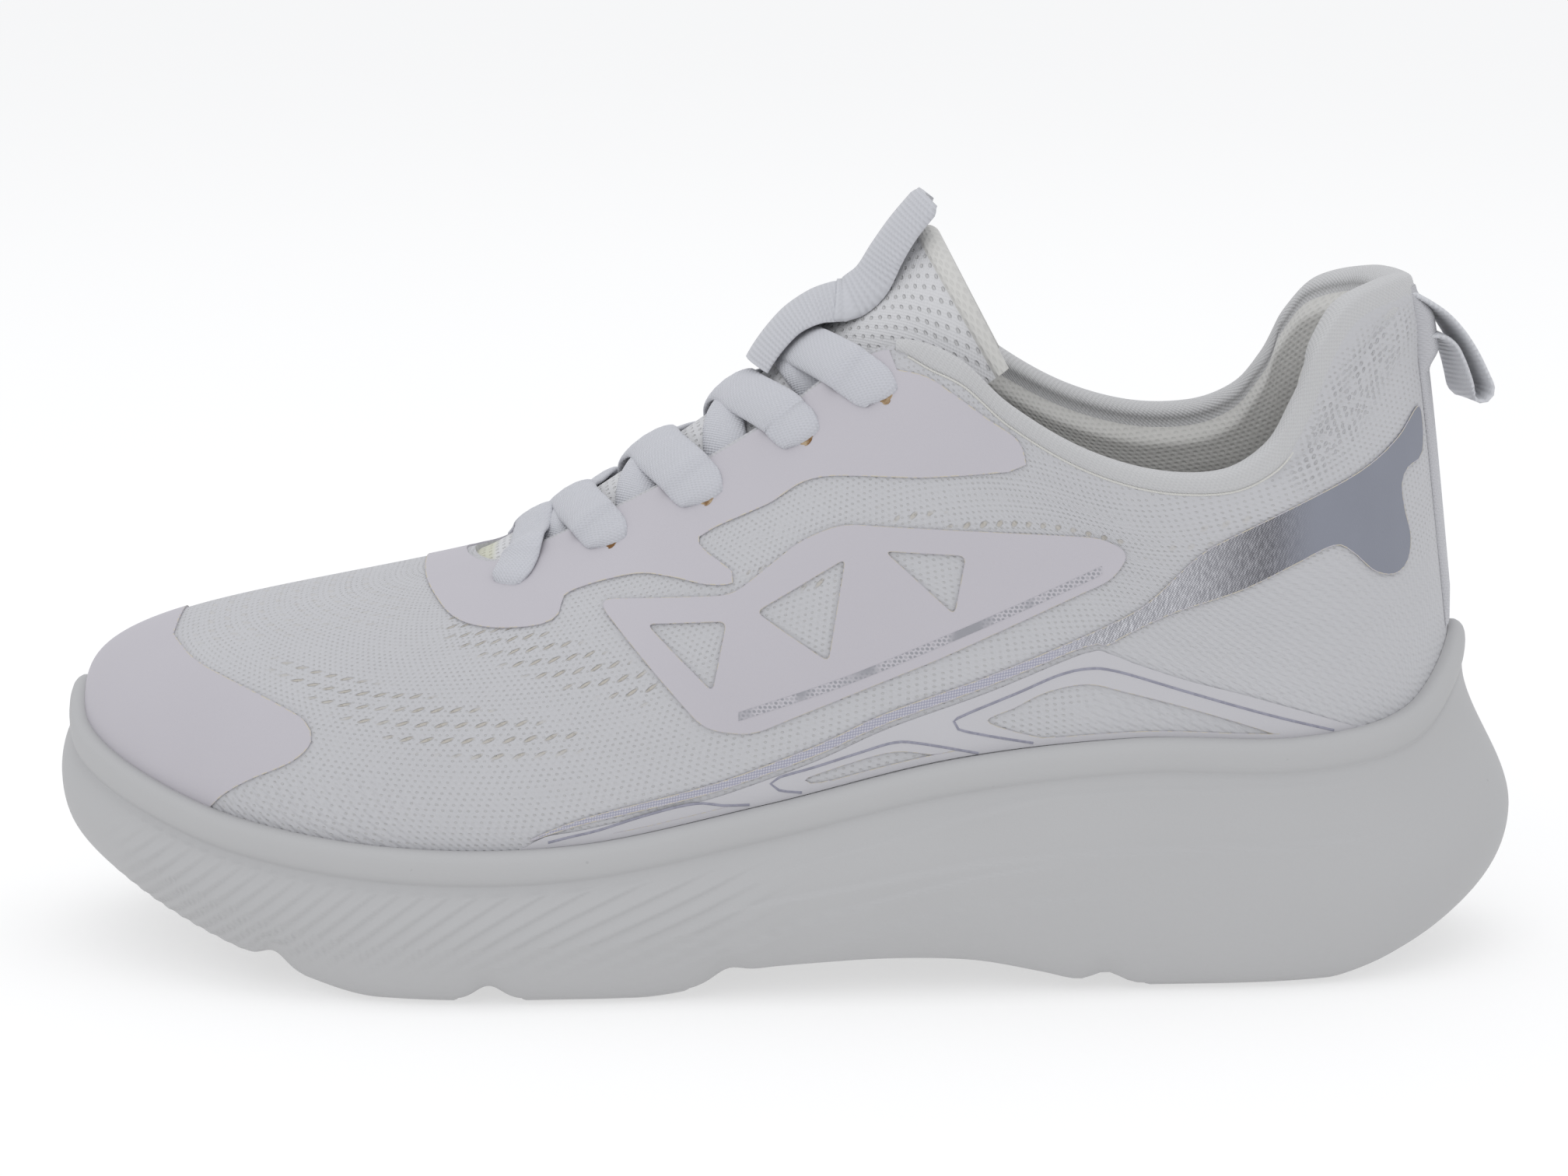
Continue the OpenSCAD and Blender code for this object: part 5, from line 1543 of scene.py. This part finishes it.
def build_heel_strip():
    """Webbing down the back of the heel."""
    t, q = grid(np.linspace(0, 1, 90), np.linspace(-1, 1, 21))
    v = 0.03 + 0.92 * t
    reach = 3.0
    half = reach * (STRIP_W / 2) / np.abs(loft(100 - reach, v)[..., 1])
    k = 100 + q * half
    edge_round = np.sqrt(np.clip(1 - np.abs(q) ** 6, 0.02, 1)) * np.minimum(1, 0.4 + 8 * t)
    flare = ramp(0.63, 0.7, v) * (1 - ramp(0.8, 0.93, v))
    outer = layer(k, v, GAP + (0.95 + 2.2 * flare) * edge_round)
    uv = np.stack([q * STRIP_W / 2, t * 66], -1)
    strip = slab("heel_strip_webbing", outer, layer(k, v, 0.03), [strip_weave], uv=uv, angle=60)
    place(strip, "shoe", "webbing", "heel_strip")


def build_heel_loop():
    loop = Parts()
    path = strap_path(LOOP, 0.6)
    n = len(path)
    turn = np.radians(15) * np.sin(np.linspace(0.08, 1, n) * math.pi * 0.9)
    sides = np.stack([-np.sin(turn), np.cos(turn), 0 * turn], 1)
    loop.ribbon(path, np.full(n, LOOP_W - 0.6), np.full(n, BAND_T), sides, count=24)
    # The loop's lighter weave colour is painted light on its shaded underside.
    obj = loop.build("heel_loop_webbing", [loop_weave_painted_light], angle=60)
    place_across(obj, "webbing", "heel_loop", (116.8, 0, 117.2), (121.2, 0, 117.2), "heel_pull_loop")


# ------------------------------------------------------------------ laces


def strap(parts, points, start_round, wide=LACE_W, crown_mm=0.6):
    """One pass of the flat lace. Each control point is a place and the outward direction there."""
    rows = smooth_line(np.array([np.concatenate(pair) for pair in points]), 0.8)
    path = rows[:, :3]
    ups = unit(rows[:, 3:])
    sides = np.cross(unit(np.gradient(path, axis=0)), ups)
    run = path_length(path)
    ends = [run[-1] - run]
    if start_round:
        ends.append(run)
    width = np.full(len(path), wide)
    for d in ends:
        reach = np.clip(d / (0.62 * wide), 0, 1)
        width = np.minimum(width, np.maximum(wide * np.sqrt(1 - (1 - reach) ** 2), 2.2))
    heights = np.minimum(LACE_T, 0.5 + width * 0.25)
    parts.ribbon(path, width, heights, sides, crown=crown_mm, count=20, uv_shift=rng.uniform(0, 5))


def on_tongue(s, q, out):
    """Control point of a lace over the tongue."""
    return tongue_point(s, q, out), tongue_point(s, q, 1) - tongue_point(s, q, 0)


def on_upper(i, side, toeward, share, out):
    """Control point of a lace near hole i, so many mm before it."""
    k = LACE_HOLES[i]
    k -= toeward / np.linalg.norm(edge(k + 0.5) - edge(k - 0.5))
    k = k if side > 0 else RING - k
    return layer(k, share, FILM_SKIN + out), loft_normal(k, share)


def hole_end(i, side, reach, shift=0):
    """Leads a lace from the throat's edge, reach mm before hole i, down into the hole.

    The whole end lies shift mm before the hole, because the lace is wider than the hole.
    """
    steps = ((1, 0.99, 1.6), (0.7, 0.945, 1.2), (0.4, 0.905, 1.05), (0.16, 0.875, 0.8), (0.02, 0.856, 0.1),
             (0, 0.846, -1.3))
    return [on_upper(i, side, shift + reach * part, share, out) for part, share, out in steps]


def crossing(parts, i, side, high, lean, wide=LACE_W):
    """Lace from under one side of the throat, over the tongue, to hole i of the other side.

    It crosses the tongue's crown lean mm before the hole.
    """
    before = lean / TONGUE_LENGTH
    start = HOLE_SHARES[i - 1] + 0.05
    over = HOLE_SHARES[i] - before
    points = [on_tongue(start, side * 0.92, 0.9), on_tongue(start + 0.005, side * 0.62, 1.1),
              on_tongue((start + over) / 2, side * 0.3, 1.1 + high * 0.8),
              on_tongue(over, 0, 1.1 + high),
              on_tongue(over + 0.3 * before, -side * 0.36, 1.4 + high)]
    strap(parts, points + hole_end(i, side, 5.3 + 0.28 * lean), False, wide, 0.85 if high > 1 else 0.4)


def first_bar(parts):
    """First pass of the lace, straight across between the two foremost holes."""
    s = HOLE_SHARES[0] + 0.026
    over = [on_tongue(s, 0.4, 2.7), on_tongue(s + 0.01, 0, 2.7), on_tongue(s, -0.4, 2.7)]
    strap(parts, hole_end(0, -1, 1.4, 1.8)[::-1] + over + hole_end(0, 1, 1.4, 1.8), True)


def build_laces():
    parts = Parts()
    first_bar(parts)
    for i, lean in enumerate(LACE_LEANS, 1):
        crossing(parts, i, 1, 1.5, lean, LACE_W * (1.15 if i == 2 else 1.03))
        crossing(parts, i, -1, 0.2, lean)
    place(parts.build("lace_straps", [lace_weave], angle=60), "shoe", "lace", "laces")


# ------------------------------------------------------------------ hidden layers

HIDDEN = {
    "strobel_board": board_material("strobel_board", srgb(196, 192, 182), 900),
    "heel_counter": board_material("counter_board", srgb(184, 182, 176), 600),
    "toe_puff": board_material("toe_board", srgb(190, 190, 186), 600),
    "eyelet_backings": board_material("woven_tape", srgb(204, 204, 206), 1200),
}


def paint_hidden_layers():
    for name, material in HIDDEN.items():
        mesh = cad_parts[name].data
        mesh.materials.clear()
        mesh.materials.append(material)


# ------------------------------------------------------------------ floor, light and camera


def floor_material():
    s = Shader("floor", roughness=0.9, specular=0.0)
    s.inputs["Emission Color"].default_value = (1, 1, 1, 1)
    s.inputs["Emission Strength"].default_value = 0.5
    return s.finish(s.tint((0.5, 0.5, 0.5, 1), 0.004, 3))


LIGHT_TARGET = (0, 0, 0.06)
FLOOR_REACH = 6.0


def area_light(name, place_m, size_m, watts):
    light = bpy.data.lights.new(name, "AREA")
    light.shape = "RECTANGLE"
    light.size, light.size_y = size_m
    light.energy = watts
    obj = link(bpy.data.objects.new(name, light))
    obj.location = place_m
    aim = Vector(LIGHT_TARGET) - Vector(place_m)
    obj.rotation_euler = aim.to_track_quat("-Z", "Y").to_euler()


def build_stage():
    mesh = bpy.data.meshes.new("floor")
    r = FLOOR_REACH
    mesh.from_pydata([(-r, -r, 0), (r, -r, 0), (r, r, 0), (-r, r, 0)], [], [(0, 1, 2, 3)])
    mesh.materials.append(floor_material())
    link(bpy.data.objects.new("floor", mesh))
    world = bpy.data.worlds.new("studio")
    world.use_nodes = True
    back = world.node_tree.nodes["Background"]
    back.inputs["Color"].default_value = (0.97, 0.98, 1.0, 1)
    back.inputs["Strength"].default_value = 0.87
    bpy.context.scene.world = world
    area_light("key", (-0.5, -1.3, 1.3), (1.2, 1.2), 3.3)
    area_light("top", (0.1, 0.1, 1.6), (1.6, 1.6), 5)


CAMERA_ELEVATION = 11.0
CAMERA_DISTANCE = 0.7
CAMERA_TARGET = 0.06565
CAMERA_LENS = 86.8


def build_camera():
    camera = bpy.data.cameras.new("camera")
    camera.lens = CAMERA_LENS
    camera.sensor_width = 36
    camera.clip_start = 0.01
    obj = link(bpy.data.objects.new("camera", camera))
    e = math.radians(CAMERA_ELEVATION)
    obj.location = (0, -CAMERA_DISTANCE * math.cos(e), CAMERA_TARGET + CAMERA_DISTANCE * math.sin(e))
    obj.rotation_euler = (math.pi / 2 - e, 0, 0)
    bpy.context.scene.camera = obj
    bpy.context.scene.view_settings.view_transform = "Standard"


build_midsole()
build_outsole()
build_insole()
build_knit()
build_toe_cap()
build_eyestay()
build_side_frames()
build_cages()
build_foils()
build_collar()
build_band()
build_topline_seam()
build_tongue_face()
build_tongue_pad()
build_tongue_lining()
build_webbing()
build_heel_strip()
build_heel_loop()
build_laces()
paint_hidden_layers()
build_stage()
build_camera()
